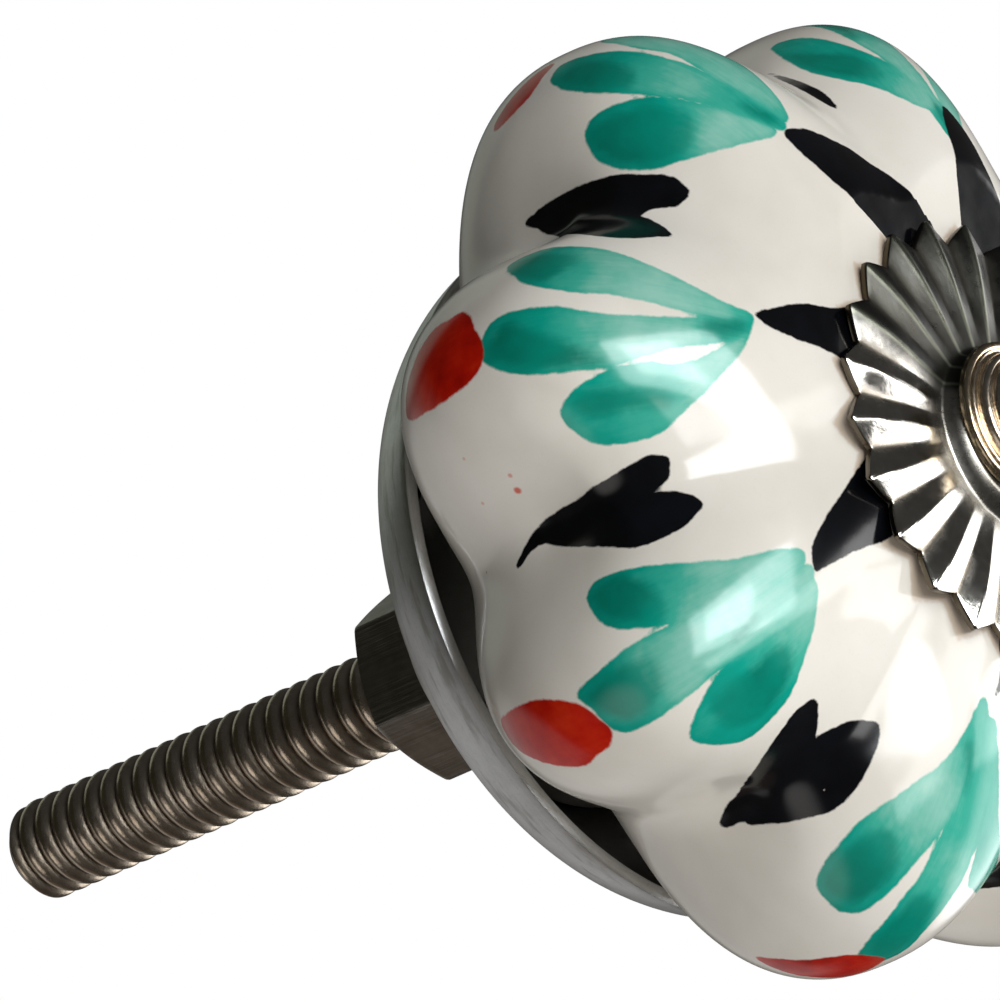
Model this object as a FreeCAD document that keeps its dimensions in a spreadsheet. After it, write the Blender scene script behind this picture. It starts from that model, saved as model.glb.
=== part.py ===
import FreeCAD, Part
import Sketcher
import math
import os

# Lobed ceramic cabinet knob.
#
# The knob's axis lies along Y. Its front looks along -Y, its screw points
# along +Y, and +Z is up. The origin is the centre of the nut's rear face.
# T is the distance in front of that face, so Y = -T. A turn angle is measured
# about the axis from +Z towards -X.

doc = FreeCAD.newDocument("CabinetKnob")

# ---------------------------------------------------------------- dimensions
SIZES = [
    ("screw_shank_radius", 2.32),      # crest radius of the 3/16 inch screw
    ("screw_pitch_radius", 2.1),       # its rolled shank, from the nut forwards
    ("screw_rear_length", 24.6),       # screw behind the nut
    ("screw_end_bevel", 0.35),
    ("head_seat_front", 34.86),        # T of the head's underside
    ("head_flange_radius", 3.5),
    ("head_flange_rise", 0.5),
    ("head_step_radius", 3.1),
    ("head_step_rise", 0.42),
    ("head_bead_radius", 2.88),
    ("head_bead_rise", 1.05),
    ("head_dome_radius", 2.45),
    ("head_dome_rise", 1.95),
    ("nut_across_flats", 8.13),
    ("nut_thickness", 4.0),
    ("nut_bevel", 0.1),
    ("nut_mouth_radius", 2.6),         # the thread's lead-in at the rear face
    ("cup_hole_radius", 2.75),
    ("cup_sheet", 0.6),
    ("cup_flat_radius", 5.2),
    ("cup_cone_angle", 38.0),
    ("cup_cone_radius", 13.35),
    ("cup_side_radius", 7.22),
    ("cup_rim_angle", 77.0),
    ("cup_aside", 0.08),               # its hole is wide too, so it sits aside
    ("cup_rise", 0.21),
    ("body_crest_radius", 22.14),
    ("body_middle_front", 23.95),       # T of the widest section
    ("body_front_height", 10.2),
    ("body_front_power", 2.51),
    ("body_front_lean", 0.5),          # the front is lower on the -X side by this
    ("body_rear_height", 12.08),
    ("body_rear_power", 2.12),
    ("body_lobes", 8),
    ("groove_depth", 4.3),
    ("groove_fade", 3.38),
    ("groove_softness", 0.31),
    ("body_seat_front", 33.35),         # T of the flat ground on the front
    ("body_bore_radius", 3.1),
    ("foot_radius", 8.6),
    ("foot_inner_radius", 6.4),
    ("foot_gap", 0.03),
    ("body_rise", 0.51),                # the bore is wide, so the body sits high
    ("rosette_seat_front", 33.76),      # T of the underside at the hub's foot
    ("rosette_pleats", 23),
    ("rosette_tip_radius", 10.08),
    ("rosette_notch_radius", 9.0),
    ("rosette_inner_radius", 4.1),
    ("rosette_hub_radius", 3.65),      # a low hub round the screw
    ("rosette_hub_rise", 0.75),
    ("rosette_hole_radius", 2.75),
    ("rosette_sheet", 0.35),
    ("rosette_middle_radius", 7.0),
    ("rosette_middle_fall", 0.16),     # drop from the hub's foot to the middle
    ("rosette_fall", 0.5),             # and to the tips
    ("rosette_pleat_height", 0.6),
    ("rosette_turn", -5.5),
    ("rosette_rise", -0.6),           # and the rosette hangs low
]

sheet = doc.addObject("Spreadsheet::Sheet", "Sizes")
for row, (alias, value) in enumerate(SIZES, start=1):
    sheet.set("A%d" % row, alias)
    sheet.set("B%d" % row, str(value))
    sheet.setAlias("B%d" % row, alias)
doc.recompute()


def size(alias):
    return float(sheet.get(alias))


def plane_of(body, role):
    for feature in body.Origin.OriginFeatures:
        if feature.Role == role:
            return feature
    raise RuntimeError("no plane " + role)


def fix(sketch, geo, pos, axis, expression, value):
    """Ties one end of a sketch line to a distance from the sketch's origin."""
    kind = "Distance" + axis
    if abs(value) < 1e-9:
        line = -2 if axis == "X" else -1
        sketch.addConstraint(Sketcher.Constraint("PointOnObject", geo, pos, line))
        return
    if value > 0:
        number = sketch.addConstraint(Sketcher.Constraint(kind, -1, 1, geo, pos, value))
        sketch.setExpression("Constraints[%d]" % number, expression)
    else:
        number = sketch.addConstraint(Sketcher.Constraint(kind, geo, pos, -1, 1, -value))
        sketch.setExpression("Constraints[%d]" % number, "-(" + expression + ")")


def evaluate(expression):
    """The value of an expression over the sheet, for a first position."""
    return float(sheet.evalExpression(expression.replace("Sizes.", "")))


def polyline(sketch, corners):
    """A closed outline. Each corner is a pair of expressions over the sheet."""
    spots = [(evaluate(ex), evaluate(ey)) for ex, ey in corners]
    count = len(corners)
    for i in range(count):
        a, b = spots[i], spots[(i + 1) % count]
        sketch.addGeometry(Part.LineSegment(FreeCAD.Vector(a[0], a[1], 0),
                                            FreeCAD.Vector(b[0], b[1], 0)), False)
    for i in range(count):
        sketch.addConstraint(Sketcher.Constraint("Coincident", i, 2, (i + 1) % count, 1))
    for i, (ex, ey) in enumerate(corners):
        fix(sketch, i, 1, "X", ex, spots[i][0])
        fix(sketch, i, 1, "Y", ey, spots[i][1])


def new_body(name):
    body = doc.addObject("PartDesign::Body", name)
    body.Label = name
    return body


def new_sketch(body, name, role):
    sketch = body.newObject("Sketcher::SketchObject", name)
    sketch.AttachmentSupport = [(plane_of(body, role), "")]
    sketch.MapMode = "FlatFace"
    return sketch


def turn(body, sketch, name, kind="PartDesign::Revolution"):
    feature = body.newObject(kind, name)
    feature.Profile = sketch
    feature.ReferenceAxis = (sketch, ["V_Axis"])
    feature.Angle = 360.0
    sketch.Visibility = False
    doc.recompute()
    return feature


# ------------------------------------------------------------- machine screw
# Head and shank are one piece. The head is a round flange, a step, a raised
# bead and a low dome. Behind the nut the shank has the thread's crest radius.
# In the nut and ahead of it it has the pitch radius, as a rolled screw has.
screw = new_body("knob_screw")
outline = new_sketch(screw, "ScrewOutline", "XY_Plane")
seat = "Sizes.head_seat_front"
polyline(outline, [
    ("0", "Sizes.screw_rear_length"),
    ("Sizes.screw_shank_radius - Sizes.screw_end_bevel", "Sizes.screw_rear_length"),
    ("Sizes.screw_shank_radius", "Sizes.screw_rear_length - Sizes.screw_end_bevel"),
    ("Sizes.screw_shank_radius", "0"),
    ("Sizes.screw_pitch_radius", "0"),
    ("Sizes.screw_pitch_radius", "-" + seat),
    ("Sizes.head_flange_radius", "-" + seat),
    ("Sizes.head_flange_radius", "-" + seat + " - Sizes.head_flange_rise * 0.55"),
    ("Sizes.head_flange_radius - 0.14", "-" + seat + " - Sizes.head_flange_rise"),
    ("Sizes.head_step_radius + 0.16", "-" + seat + " - Sizes.head_flange_rise"),
    ("Sizes.head_step_radius", "-" + seat + " - Sizes.head_step_rise"),
    ("Sizes.head_bead_radius + 0.06", "-" + seat + " - Sizes.head_step_rise"),
    ("Sizes.head_bead_radius", "-" + seat + " - Sizes.head_bead_rise * 0.8"),
    ("Sizes.head_bead_radius - 0.18", "-" + seat + " - Sizes.head_bead_rise"),
    ("Sizes.head_dome_radius + 0.12", "-" + seat + " - Sizes.head_bead_rise"),
    ("Sizes.head_dome_radius", "-" + seat + " - Sizes.head_bead_rise + 0.2"),
    ("Sizes.head_dome_radius * 0.93", "-" + seat + " - Sizes.head_bead_rise - (Sizes.head_dome_rise - Sizes.head_bead_rise) * 0.36"),
    ("Sizes.head_dome_radius * 0.75", "-" + seat + " - Sizes.head_bead_rise - (Sizes.head_dome_rise - Sizes.head_bead_rise) * 0.66"),
    ("Sizes.head_dome_radius * 0.45", "-" + seat + " - Sizes.head_bead_rise - (Sizes.head_dome_rise - Sizes.head_bead_rise) * 0.90"),
    ("0", "-" + seat + " - Sizes.head_dome_rise"),
])
doc.recompute()
turn(screw, outline, "ScrewTurning")

# ------------------------------------------------------------------- hex nut
# A hexagon with two corners level with the axis, bevelled at both ends.
nut = new_body("hex_nut")
hexagon = new_sketch(nut, "NutHexagon", "XZ_Plane")
half = "Sizes.nut_across_flats / 2"
corner = "Sizes.nut_across_flats / sqrt(3)"
polyline(hexagon, [
    (corner, "0"),
    (corner + " / 2", half),
    ("-" + corner + " / 2", half),
    ("-" + corner, "0"),
    ("-" + corner + " / 2", "-" + half),
    (corner + " / 2", "-" + half),
])
doc.recompute()
block = nut.newObject("PartDesign::Pad", "NutBlock")
block.Profile = hexagon
block.setExpression("Length", "Sizes.nut_thickness")
hexagon.Visibility = False
doc.recompute()
if block.Shape.BoundBox.YMax > 0.01:
    block.Reversed = True
    doc.recompute()

volume = nut.Shape.Volume
bevels = new_sketch(nut, "NutBevels", "XY_Plane")
rise = "Sizes.nut_bevel"
polyline(bevels, [
    (half + " * 0.985", "0.5"),
    (corner + " + 1", "0.5"),
    (corner + " + 1", "-" + rise + " * (1 + (1 - 0.1547 + 0.147) / 0.17)"),
    (half + " * 0.985", "0"),
])
doc.recompute()
turn(nut, bevels, "NutRearBevel", "PartDesign::Groove")
if nut.Shape.Volume > volume - 0.1:
    raise RuntimeError("the rear bevel cut nothing")
volume = nut.Shape.Volume
bevels = new_sketch(nut, "NutFrontBevels", "XY_Plane")
polyline(bevels, [
    (half + " * 0.985", "-Sizes.nut_thickness - 0.5"),
    (corner + " + 1", "-Sizes.nut_thickness - 0.5"),
    (corner + " + 1", "-Sizes.nut_thickness + " + rise + " * (1 + (1 - 0.1547 + 0.147) / 0.17)"),
    (half + " * 0.985", "-Sizes.nut_thickness"),
])
doc.recompute()
turn(nut, bevels, "NutFrontBevel", "PartDesign::Groove")
if nut.Shape.Volume > volume - 0.1:
    raise RuntimeError("the front bevel cut nothing")
volume = nut.Shape.Volume
bore = new_sketch(nut, "NutBore", "XZ_Plane")
bore.addGeometry(Part.Circle(FreeCAD.Vector(0, 0, 0), FreeCAD.Vector(0, 0, 1), size("screw_pitch_radius")), False)
bore.addConstraint(Sketcher.Constraint("Coincident", 0, 3, -1, 1))
number = bore.addConstraint(Sketcher.Constraint("Radius", 0, size("screw_pitch_radius")))
bore.setExpression("Constraints[%d]" % number, "Sizes.screw_pitch_radius")
doc.recompute()
hole = nut.newObject("PartDesign::Pocket", "NutHole")
hole.Profile = bore
hole.Type = "ThroughAll"
hole.Midplane = True
bore.Visibility = False
doc.recompute()
if nut.Shape.Volume > volume - 1.0:
    raise RuntimeError("the nut's bore cut nothing")
volume = nut.Shape.Volume
mouth = new_sketch(nut, "NutMouth", "XY_Plane")
lead = "(Sizes.nut_mouth_radius - Sizes.screw_pitch_radius)"
polyline(mouth, [
    ("Sizes.screw_pitch_radius * 0.5", "0.2"),
    ("Sizes.nut_mouth_radius + 0.2", "0.2"),
    ("Sizes.screw_pitch_radius", "-" + lead),
    ("Sizes.screw_pitch_radius * 0.5", "-" + lead),
])
doc.recompute()
turn(nut, mouth, "NutLeadIn", "PartDesign::Groove")
if nut.Shape.Volume > volume - 0.1:
    raise RuntimeError("the nut's lead-in cut nothing")

# ------------------------------------------------------------- backplate cup
# A dished sheet: a small flat round the screw, a cone, and a rounded side up
# to the rim. Inside and outside are the same curve, one sheet apart.
cup = new_body("backplate_cup")
dish = new_sketch(cup, "CupSection", "XY_Plane")
lean = "(Sizes.cup_cone_angle * 1 deg)"
reach = "(Sizes.cup_rim_angle * 1 deg)"
back = "Sizes.nut_thickness"
cone_rise = "(Sizes.cup_cone_radius - Sizes.cup_flat_radius) * tan" + lean
centre_x = "(Sizes.cup_cone_radius - Sizes.cup_side_radius * sin" + lean + ")"
centre_t = "(" + back + " + " + cone_rise + " + Sizes.cup_side_radius * cos" + lean + ")"
inner = "(Sizes.cup_side_radius - Sizes.cup_sheet)"


def on_side(radius, angle):
    return ("%s + %s * sin%s" % (centre_x, radius, angle),
            "-(%s - %s * cos%s)" % (centre_t, radius, angle))


outer_low = on_side("Sizes.cup_side_radius", lean)
outer_top = on_side("Sizes.cup_side_radius", reach)
inner_top = on_side(inner, reach)
inner_low = on_side(inner, lean)
flat_inner = ("Sizes.cup_flat_radius - Sizes.cup_sheet * tan(Sizes.cup_cone_angle * 0.5 deg)",
              "-(" + back + " + Sizes.cup_sheet)")
corners = [
    ("Sizes.cup_hole_radius", "-" + back),
    ("Sizes.cup_flat_radius", "-" + back),
    outer_low, outer_top, inner_top, inner_low, flat_inner,
    ("Sizes.cup_hole_radius", "-(" + back + " + Sizes.cup_sheet)"),
]
spots = [FreeCAD.Vector(evaluate(ex), evaluate(ey), 0) for ex, ey in corners]
middle = FreeCAD.Vector(evaluate(centre_x), -evaluate(centre_t), 0)


def rim_arc(a, b, radius):
    """The arc about the side's centre from a to b."""
    start = math.atan2(a.y - middle.y, a.x - middle.x)
    end = math.atan2(b.y - middle.y, b.x - middle.x)
    if start > end:
        start, end = end, start
    circle = Part.Circle(middle, FreeCAD.Vector(0, 0, 1), radius)
    return Part.ArcOfCircle(circle, start, end)


# Edges in order: two lines, the outer arc, the rim, the inner arc, three lines.
dish.addGeometry(Part.LineSegment(spots[0], spots[1]), False)
dish.addGeometry(Part.LineSegment(spots[1], spots[2]), False)
dish.addGeometry(rim_arc(spots[2], spots[3], size("cup_side_radius")), False)
dish.addGeometry(Part.LineSegment(spots[3], spots[4]), False)
dish.addGeometry(rim_arc(spots[4], spots[5], size("cup_side_radius") - size("cup_sheet")), False)
dish.addGeometry(Part.LineSegment(spots[5], spots[6]), False)
dish.addGeometry(Part.LineSegment(spots[6], spots[7]), False)
dish.addGeometry(Part.LineSegment(spots[7], spots[0]), False)


def ends(geo, spot):
    """Which end of an edge lies at a spot: 1 for its start, 2 for its end."""
    edge = dish.Geometry[geo]
    if edge.StartPoint.distanceToPoint(spot) < edge.EndPoint.distanceToPoint(spot):
        return 1
    return 2


for i in range(8):
    j = (i + 1) % 8
    dish.addConstraint(Sketcher.Constraint("Coincident", i, ends(i, spots[j]), j, ends(j, spots[j])))
for i, (ex, ey) in enumerate(corners):
    fix(dish, i, ends(i, spots[i]), "X", ex, spots[i].x)
    fix(dish, i, ends(i, spots[i]), "Y", ey, spots[i].y)
number = dish.addConstraint(Sketcher.Constraint("Radius", 2, size("cup_side_radius")))
dish.setExpression("Constraints[%d]" % number, "Sizes.cup_side_radius")
number = dish.addConstraint(Sketcher.Constraint("Radius", 4, size("cup_side_radius") - size("cup_sheet")))
dish.setExpression("Constraints[%d]" % number, "Sizes.cup_side_radius - Sizes.cup_sheet")
doc.recompute()
turn(cup, dish, "CupSpinning")
beside = FreeCAD.Vector(size("cup_aside"), 0, size("cup_rise"))
cup.Placement = FreeCAD.Placement(beside, FreeCAD.Rotation())
doc.recompute()

# -------------------------------------------------------------- ceramic body
# Each lobe is a patch from groove to groove. The crest line is a rounded
# oval, and the grooves sink along the oval's normal, fading to both ends.


def crest(angle):
    """Radius, T and outward normal of the crest line, -90 at the back."""
    front = angle >= 0
    power = size("body_front_power") if front else size("body_rear_power")
    height = size("body_front_height") if front else size("body_rear_height")

    def place(a):
        c, s = math.cos(a), abs(math.sin(a))
        k = (c ** power + s ** power) ** (-1.0 / power)
        way = 1 if a >= 0 else -1
        return size("body_crest_radius") * c * k, size("body_middle_front") + way * height * s * k

    step = 1e-4
    r, t = place(angle)
    if front:
        r1, t1 = place(angle + step)
        dr, dt = r1 - r, t1 - t
    else:
        r1, t1 = place(angle - step)
        dr, dt = r - r1, t - t1
    length = math.hypot(dr, dt)
    return r, t, dt / length, -dr / length


def groove(turned):
    """0 on a crest and 1 in a groove."""
    soft = size("groove_softness")
    c = math.cos(size("body_lobes") / 2.0 * turned)
    g = (math.sqrt(c * c + soft * soft) - soft) / (math.sqrt(1 + soft * soft) - soft)
    return 1.0 - g


def spot_on_body(angle, turned, planar=False):
    r, t, nr, nt = crest(angle)
    depth = 0.0
    if not planar:
        depth = size("groove_depth") * (r / size("body_crest_radius")) ** size("groove_fade") * groove(turned)
    r -= depth * nr
    t -= depth * nt
    return FreeCAD.Vector(-r * math.sin(turned), -t, r * math.cos(turned))


ROWS = 34
COLUMNS = 17
lobes = int(size("body_lobes"))
angles = [math.radians(-86 + 172.0 * i / (ROWS - 1)) for i in range(ROWS)]


def lowered(pole):
    """The front is lower on one side: a shift that grows towards the front."""
    up = max(0.0, (-pole.y - size("body_middle_front")) / size("body_front_height"))
    aside = -pole.x / max(math.hypot(pole.x, pole.z), 1e-6)
    return FreeCAD.Vector(pole.x, pole.y + size("body_front_lean") * up * aside, pole.z)


faces = []
for lobe in range(lobes):
    grid = []
    for i, angle in enumerate(angles):
        line = []
        for j in range(COLUMNS):
            turned = 2 * math.pi / lobes * (lobe - 0.5 + j / (COLUMNS - 1.0))
            line.append(spot_on_body(angle, turned, i in (0, ROWS - 1)))
        grid.append(line)
    patch = Part.BSplineSurface()
    patch.interpolate(grid)
    for row in range(2, patch.NbUPoles):
        for column in range(1, patch.NbVPoles + 1):
            patch.setPole(row, column, lowered(patch.getPole(row, column)))
    faces.append(patch.toShape())
skin = Part.makeShell(faces)
skin.sewShape()
rims = []
for edge in skin.Edges:
    if len(skin.ancestorsOfType(edge, Part.Face)) == 1:
        rims.append(edge)
for wire in Part.sortEdges(rims):
    ring = Part.Wire(wire)
    faces.append(Part.makeFace([ring], "Part::FaceMakerBullseye"))
skin = Part.makeShell(faces)
skin.sewShape()
lump = Part.makeSolid(Part.Shell(skin.Faces))
if lump.Volume < 0:
    lump.reverse()
if not lump.isValid():
    lump.fix(1e-6, 1e-6, 1e-4)

into = FreeCAD.Vector(0, -1, 0)
seat_front = size("body_seat_front")
ahead = Part.makeCylinder(30, 10, FreeCAD.Vector(0, -seat_front, 0), into)
lump = lump.cut(ahead)
# The foot is a short round neck whose rim is bevelled to lie on the cup's cone.
lean_value = math.radians(size("cup_cone_angle"))
flat_r = size("cup_flat_radius") - size("cup_sheet") * math.tan(lean_value / 2)
flat_t = size("nut_thickness") + size("cup_sheet")


def cone_t(radius):
    return flat_t + (radius - flat_r) * math.tan(lean_value) + size("foot_gap")


rise = size("body_rise")
foot_r = size("foot_radius")
foot_in = size("foot_inner_radius")
deep = size("body_middle_front") - size("body_rear_height") + 2.0
section = Part.makePolygon([
    FreeCAD.Vector(0, -cone_t(foot_in), 0),
    FreeCAD.Vector(foot_in, -cone_t(foot_in), 0),
    FreeCAD.Vector(foot_r, -cone_t(foot_r), 0),
    FreeCAD.Vector(foot_r, -deep, 0),
    FreeCAD.Vector(0, -deep, 0),
    FreeCAD.Vector(0, -cone_t(foot_in), 0),
])
foot = Part.Face(section).revolve(FreeCAD.Vector(0, 0, 0), FreeCAD.Vector(0, 1, 0), 360)
foot = Part.makeSolid(foot) if foot.ShapeType != "Solid" else foot
if foot.Volume < 0:
    foot.reverse()
# The foot is centred on the cup, and the lobed part sits high by the rise.
foot.translate(beside)
lump.translate(FreeCAD.Vector(0, 0, rise))
lump = lump.fuse(foot)
drill = Part.makeCylinder(size("body_bore_radius"), 60, FreeCAD.Vector(0, 0, 0), into)
lump = lump.cut(drill)
lump = lump.removeSplitter()
lump = lump.Solids[0]

ceramic = doc.addObject("Part::Feature", "ceramic_body")
ceramic.Label = "ceramic_body"
ceramic.Shape = lump
ceramic.Placement = FreeCAD.Placement()

# ------------------------------------------------------------- front rosette
# A pressed washer. Pleats start at the low hub and grow to the edge. Each
# ridge ends in a point, and the edge is notched between two points.
pleats = int(size("rosette_pleats"))
flat_z = size("rosette_seat_front")
sheet_t = size("rosette_sheet")
inner_r = size("rosette_inner_radius")
middle_r = size("rosette_middle_radius")
hole_r = size("rosette_hole_radius")
hub_r = size("rosette_hub_radius")
hub_rise = size("rosette_hub_rise")
fall = size("rosette_fall")
middle_fall = size("rosette_middle_fall")
height = size("rosette_pleat_height")
first = math.radians(size("rosette_turn"))
tip_r = size("rosette_tip_radius")
notch_r = size("rosette_notch_radius")


def at(radius, turned, front):
    return FreeCAD.Vector(-radius * math.sin(turned), -front, radius * math.cos(turned))


def rings_of_points(lift):
    centre, hub, neck, middle_ring, edge = [], [], [], [], []
    for k in range(2 * pleats):
        turned = first + math.pi / pleats * k
        ridge = k % 2 == 0
        centre.append(at(hole_r, turned, flat_z + hub_rise + lift))
        hub.append(at(hub_r, turned, flat_z + hub_rise + lift))
        neck.append(at(inner_r, turned, flat_z + lift))
        up = height * (middle_r - inner_r) / (tip_r - inner_r) if ridge else 0.0
        middle_ring.append(at(middle_r, turned, flat_z - middle_fall + up + lift))
        radius = tip_r if ridge else notch_r
        drop = middle_fall + (fall - middle_fall) * (radius - middle_r) / (tip_r - middle_r)
        up = height if ridge else 0.0
        # the ridge's point is pressed down again
        edge.append(at(radius, turned, flat_z - drop + up * 0.5 + lift))
    return centre, hub, neck, middle_ring, edge


def patch(a, b, c, d):
    """A bilinear face over four corners, or a flat one."""
    return Part.makeRuledSurface(Part.LineSegment(a, b).toShape(), Part.LineSegment(d, c).toShape())


low = rings_of_points(0.0)
top = rings_of_points(sheet_t)
faces = []
count = 2 * pleats
for k in range(count):
    n = (k + 1) % count
    for level in (low, top):
        for inside, outside in ((0, 1), (1, 2), (2, 3), (3, 4)):
            faces.append(patch(level[inside][k], level[outside][k], level[outside][n], level[inside][n]))
    faces.append(patch(low[0][k], top[0][k], top[0][n], low[0][n]))
    faces.append(patch(low[4][k], top[4][k], top[4][n], low[4][n]))
shell = Part.makeShell(faces)
shell.sewShape()
flower = Part.makeSolid(Part.Shell(shell.Faces))
if flower.Volume < 0:
    flower.reverse()
flower.translate(FreeCAD.Vector(0, 0, size("rosette_rise")))
rosette = doc.addObject("Part::Feature", "front_rosette")
rosette.Label = "front_rosette"
rosette.Shape = flower
rosette.Placement = FreeCAD.Placement()

doc.recompute()

# ------------------------------------------------------------ check and write
NODES = [ceramic, rosette, screw, cup, nut]
for thing in doc.Objects:
    if "Invalid" in thing.State or "Error" in thing.State:
        raise RuntimeError(thing.Name + " failed: " + str(thing.State))
for node in NODES:
    shape = node.Shape
    if shape.isNull() or not shape.isValid() or len(shape.Solids) != 1:
        raise RuntimeError("%s isn't one valid solid (%d)" % (node.Label, len(shape.Solids)))
os.makedirs("parts", exist_ok=True)
for node in NODES:
    node.Shape.exportStep("parts/%s.step" % node.Label)
    box = node.Shape.BoundBox
    print("%-15s volume %9.2f mm3  X %.2f %.2f  Y %.2f %.2f  Z %.2f %.2f" % (
        node.Label, node.Shape.Volume, box.XMin, box.XMax, box.YMin, box.YMax, box.ZMin, box.ZMax))
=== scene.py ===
import bpy
import math
import numpy as np
from mathutils import Matrix, Vector


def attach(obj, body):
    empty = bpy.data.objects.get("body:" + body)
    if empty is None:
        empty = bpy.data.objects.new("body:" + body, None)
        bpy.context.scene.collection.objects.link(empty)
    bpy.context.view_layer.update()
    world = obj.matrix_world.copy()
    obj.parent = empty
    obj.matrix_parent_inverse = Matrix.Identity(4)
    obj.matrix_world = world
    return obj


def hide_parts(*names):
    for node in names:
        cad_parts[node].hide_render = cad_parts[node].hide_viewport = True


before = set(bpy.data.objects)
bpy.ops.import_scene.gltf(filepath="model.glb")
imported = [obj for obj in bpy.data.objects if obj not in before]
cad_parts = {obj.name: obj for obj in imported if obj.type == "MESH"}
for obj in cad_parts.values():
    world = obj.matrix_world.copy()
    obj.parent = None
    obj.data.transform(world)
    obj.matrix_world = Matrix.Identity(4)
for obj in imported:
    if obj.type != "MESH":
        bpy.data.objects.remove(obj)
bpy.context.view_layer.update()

# Lobed ceramic cabinet knob. Lengths are written in millimetres and become
# metres in the meshes. The axis lies along Y, the front looks along -Y. T is
# the distance in front of the nut's rear face (Y = -T). A turn is measured
# about the axis from +Z towards -X.

scene = bpy.context.scene
MM = 0.001

# ------------------------------------------------------------------- meshes


def make_mesh(name, verts, polys, uv=None, floats=None, sharp=35.0):
    """A mesh from corner points in mm, a list of arrays of polygons of one size
    each, and an array of texture coordinates per polygon corner."""
    me = bpy.data.meshes.new(name)
    me.vertices.add(len(verts))
    me.vertices.foreach_set("co", (np.asarray(verts, float) * MM).ravel())
    loops = np.concatenate([np.asarray(p).ravel() for p in polys]).astype(np.int32)
    sizes = np.concatenate([np.full(len(p), np.asarray(p).shape[1]) for p in polys])
    starts = np.concatenate([[0], np.cumsum(sizes)[:-1]]).astype(np.int32)
    me.loops.add(len(loops))
    me.loops.foreach_set("vertex_index", loops)
    me.polygons.add(len(starts))
    me.polygons.foreach_set("loop_start", starts)
    me.update(calc_edges=True)
    me.validate()
    me.polygons.foreach_set("use_smooth", np.ones(len(me.polygons), bool))
    if uv is not None:
        layer = me.uv_layers.new(name="UVMap")
        layer.data.foreach_set("uv", np.asarray(uv, float).ravel())
    for key, values in (floats or {}).items():
        a = me.attributes.new(key, "FLOAT", "POINT")
        a.data.foreach_set("value", np.asarray(values, np.float32))
    if sharp:
        me.set_sharp_from_angle(angle=math.radians(sharp))
    ob = bpy.data.objects.new(name, me)
    scene.collection.objects.link(ob)
    return ob


def ring_polys(rows, cols, closed_rows=False):
    """Quads of a tube of rows x cols points, closed round the columns."""
    i = np.arange(rows if closed_rows else rows - 1)
    j = np.arange(cols)
    I, J = np.meshgrid(i, j, indexing="ij")
    a = I * cols + J
    b = I * cols + (J + 1) % cols
    c = ((I + 1) % rows) * cols + (J + 1) % cols
    d = ((I + 1) % rows) * cols + J
    return np.stack([a, b, c, d], -1).reshape(-1, 4), I.ravel(), J.ravel()


def ring_uv(I, J, cols, along):
    """Texture coordinates of ring_polys: turn 0..1 and the length in mm."""
    u0, u1 = J / cols, (J + 1) / cols
    v0, v1 = along[I], along[I + 1]
    return np.stack([np.stack([u0, v0], -1), np.stack([u1, v0], -1),
                     np.stack([u1, v1], -1), np.stack([u0, v1], -1)], 1).reshape(-1, 2)


def about_axis(r, t, turned, rise=0.0):
    return np.stack([-r * np.sin(turned), -t + 0 * turned, r * np.cos(turned) + rise], -1)


def path_length(rt):
    rt = np.asarray(rt, float)
    return np.concatenate([[0], np.cumsum(np.hypot(*np.diff(rt, axis=0).T))])


def lathe(name, outline, cols, closed=True, sharp=35.0, shift=(0.0, 0.0, 0.0)):
    """Turns an outline of (r, T) points. A first or last point on the axis
    becomes one vertex."""
    outline = list(outline)
    poles = []
    body = outline
    if not closed:
        if outline[0][0] == 0:
            poles.append(("first", outline[0])); body = body[1:]
        if outline[-1][0] == 0:
            poles.append(("last", outline[-1])); body = body[:-1]
    turned = np.arange(cols) / cols * 2 * math.pi
    pts = np.concatenate([about_axis(r, t, turned) for r, t in body])
    quads, I, J = ring_polys(len(body), cols, closed)
    along = path_length(body + ([body[0]] if closed else []))
    uv = [ring_uv(I, J, cols, along)]
    polys = [quads]
    extra, tris, tuv = [], [], []
    for which, (r, t) in poles:
        n = len(pts) + len(extra)
        extra.append((0.0, -t, 0.0))
        row = 0 if which == "first" else len(body) - 1
        base = row * cols
        j = np.arange(cols)
        a, b = base + j, base + (j + 1) % cols
        tris.append(np.stack([a, np.full(cols, n), b] if which == "first" else [a, b, np.full(cols, n)], -1)
                    if False else (np.stack([b, a, np.full(cols, n)], -1) if which == "first"
                                   else np.stack([a, b, np.full(cols, n)], -1)))
        va = along[row]
        vn = va - body[row][0] if which == "first" else va + body[row][0]
        u0, u1 = j / cols, (j + 1) / cols
        um = (u0 + u1) / 2
        ends = ([u1, u0] if which == "first" else [u0, u1])
        tuv.append(np.stack([np.stack([ends[0], np.full(cols, va)], -1),
                             np.stack([ends[1], np.full(cols, va)], -1),
                             np.stack([um, np.full(cols, vn)], -1)], 1).reshape(-1, 2))
    if extra:
        pts = np.concatenate([pts, np.array(extra)])
        polys += [np.concatenate(tris)]
        uv += tuv
    return make_mesh(name, pts + np.array(shift), polys, np.concatenate(uv), sharp=sharp)


def arc(centre, radius, start, end, steps):
    """Points of an arc in the (r, T) plane, angles in degrees."""
    a = np.radians(np.linspace(start, end, steps))
    return [(centre[0] + radius * math.cos(x), centre[1] + radius * math.sin(x)) for x in a]


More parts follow.
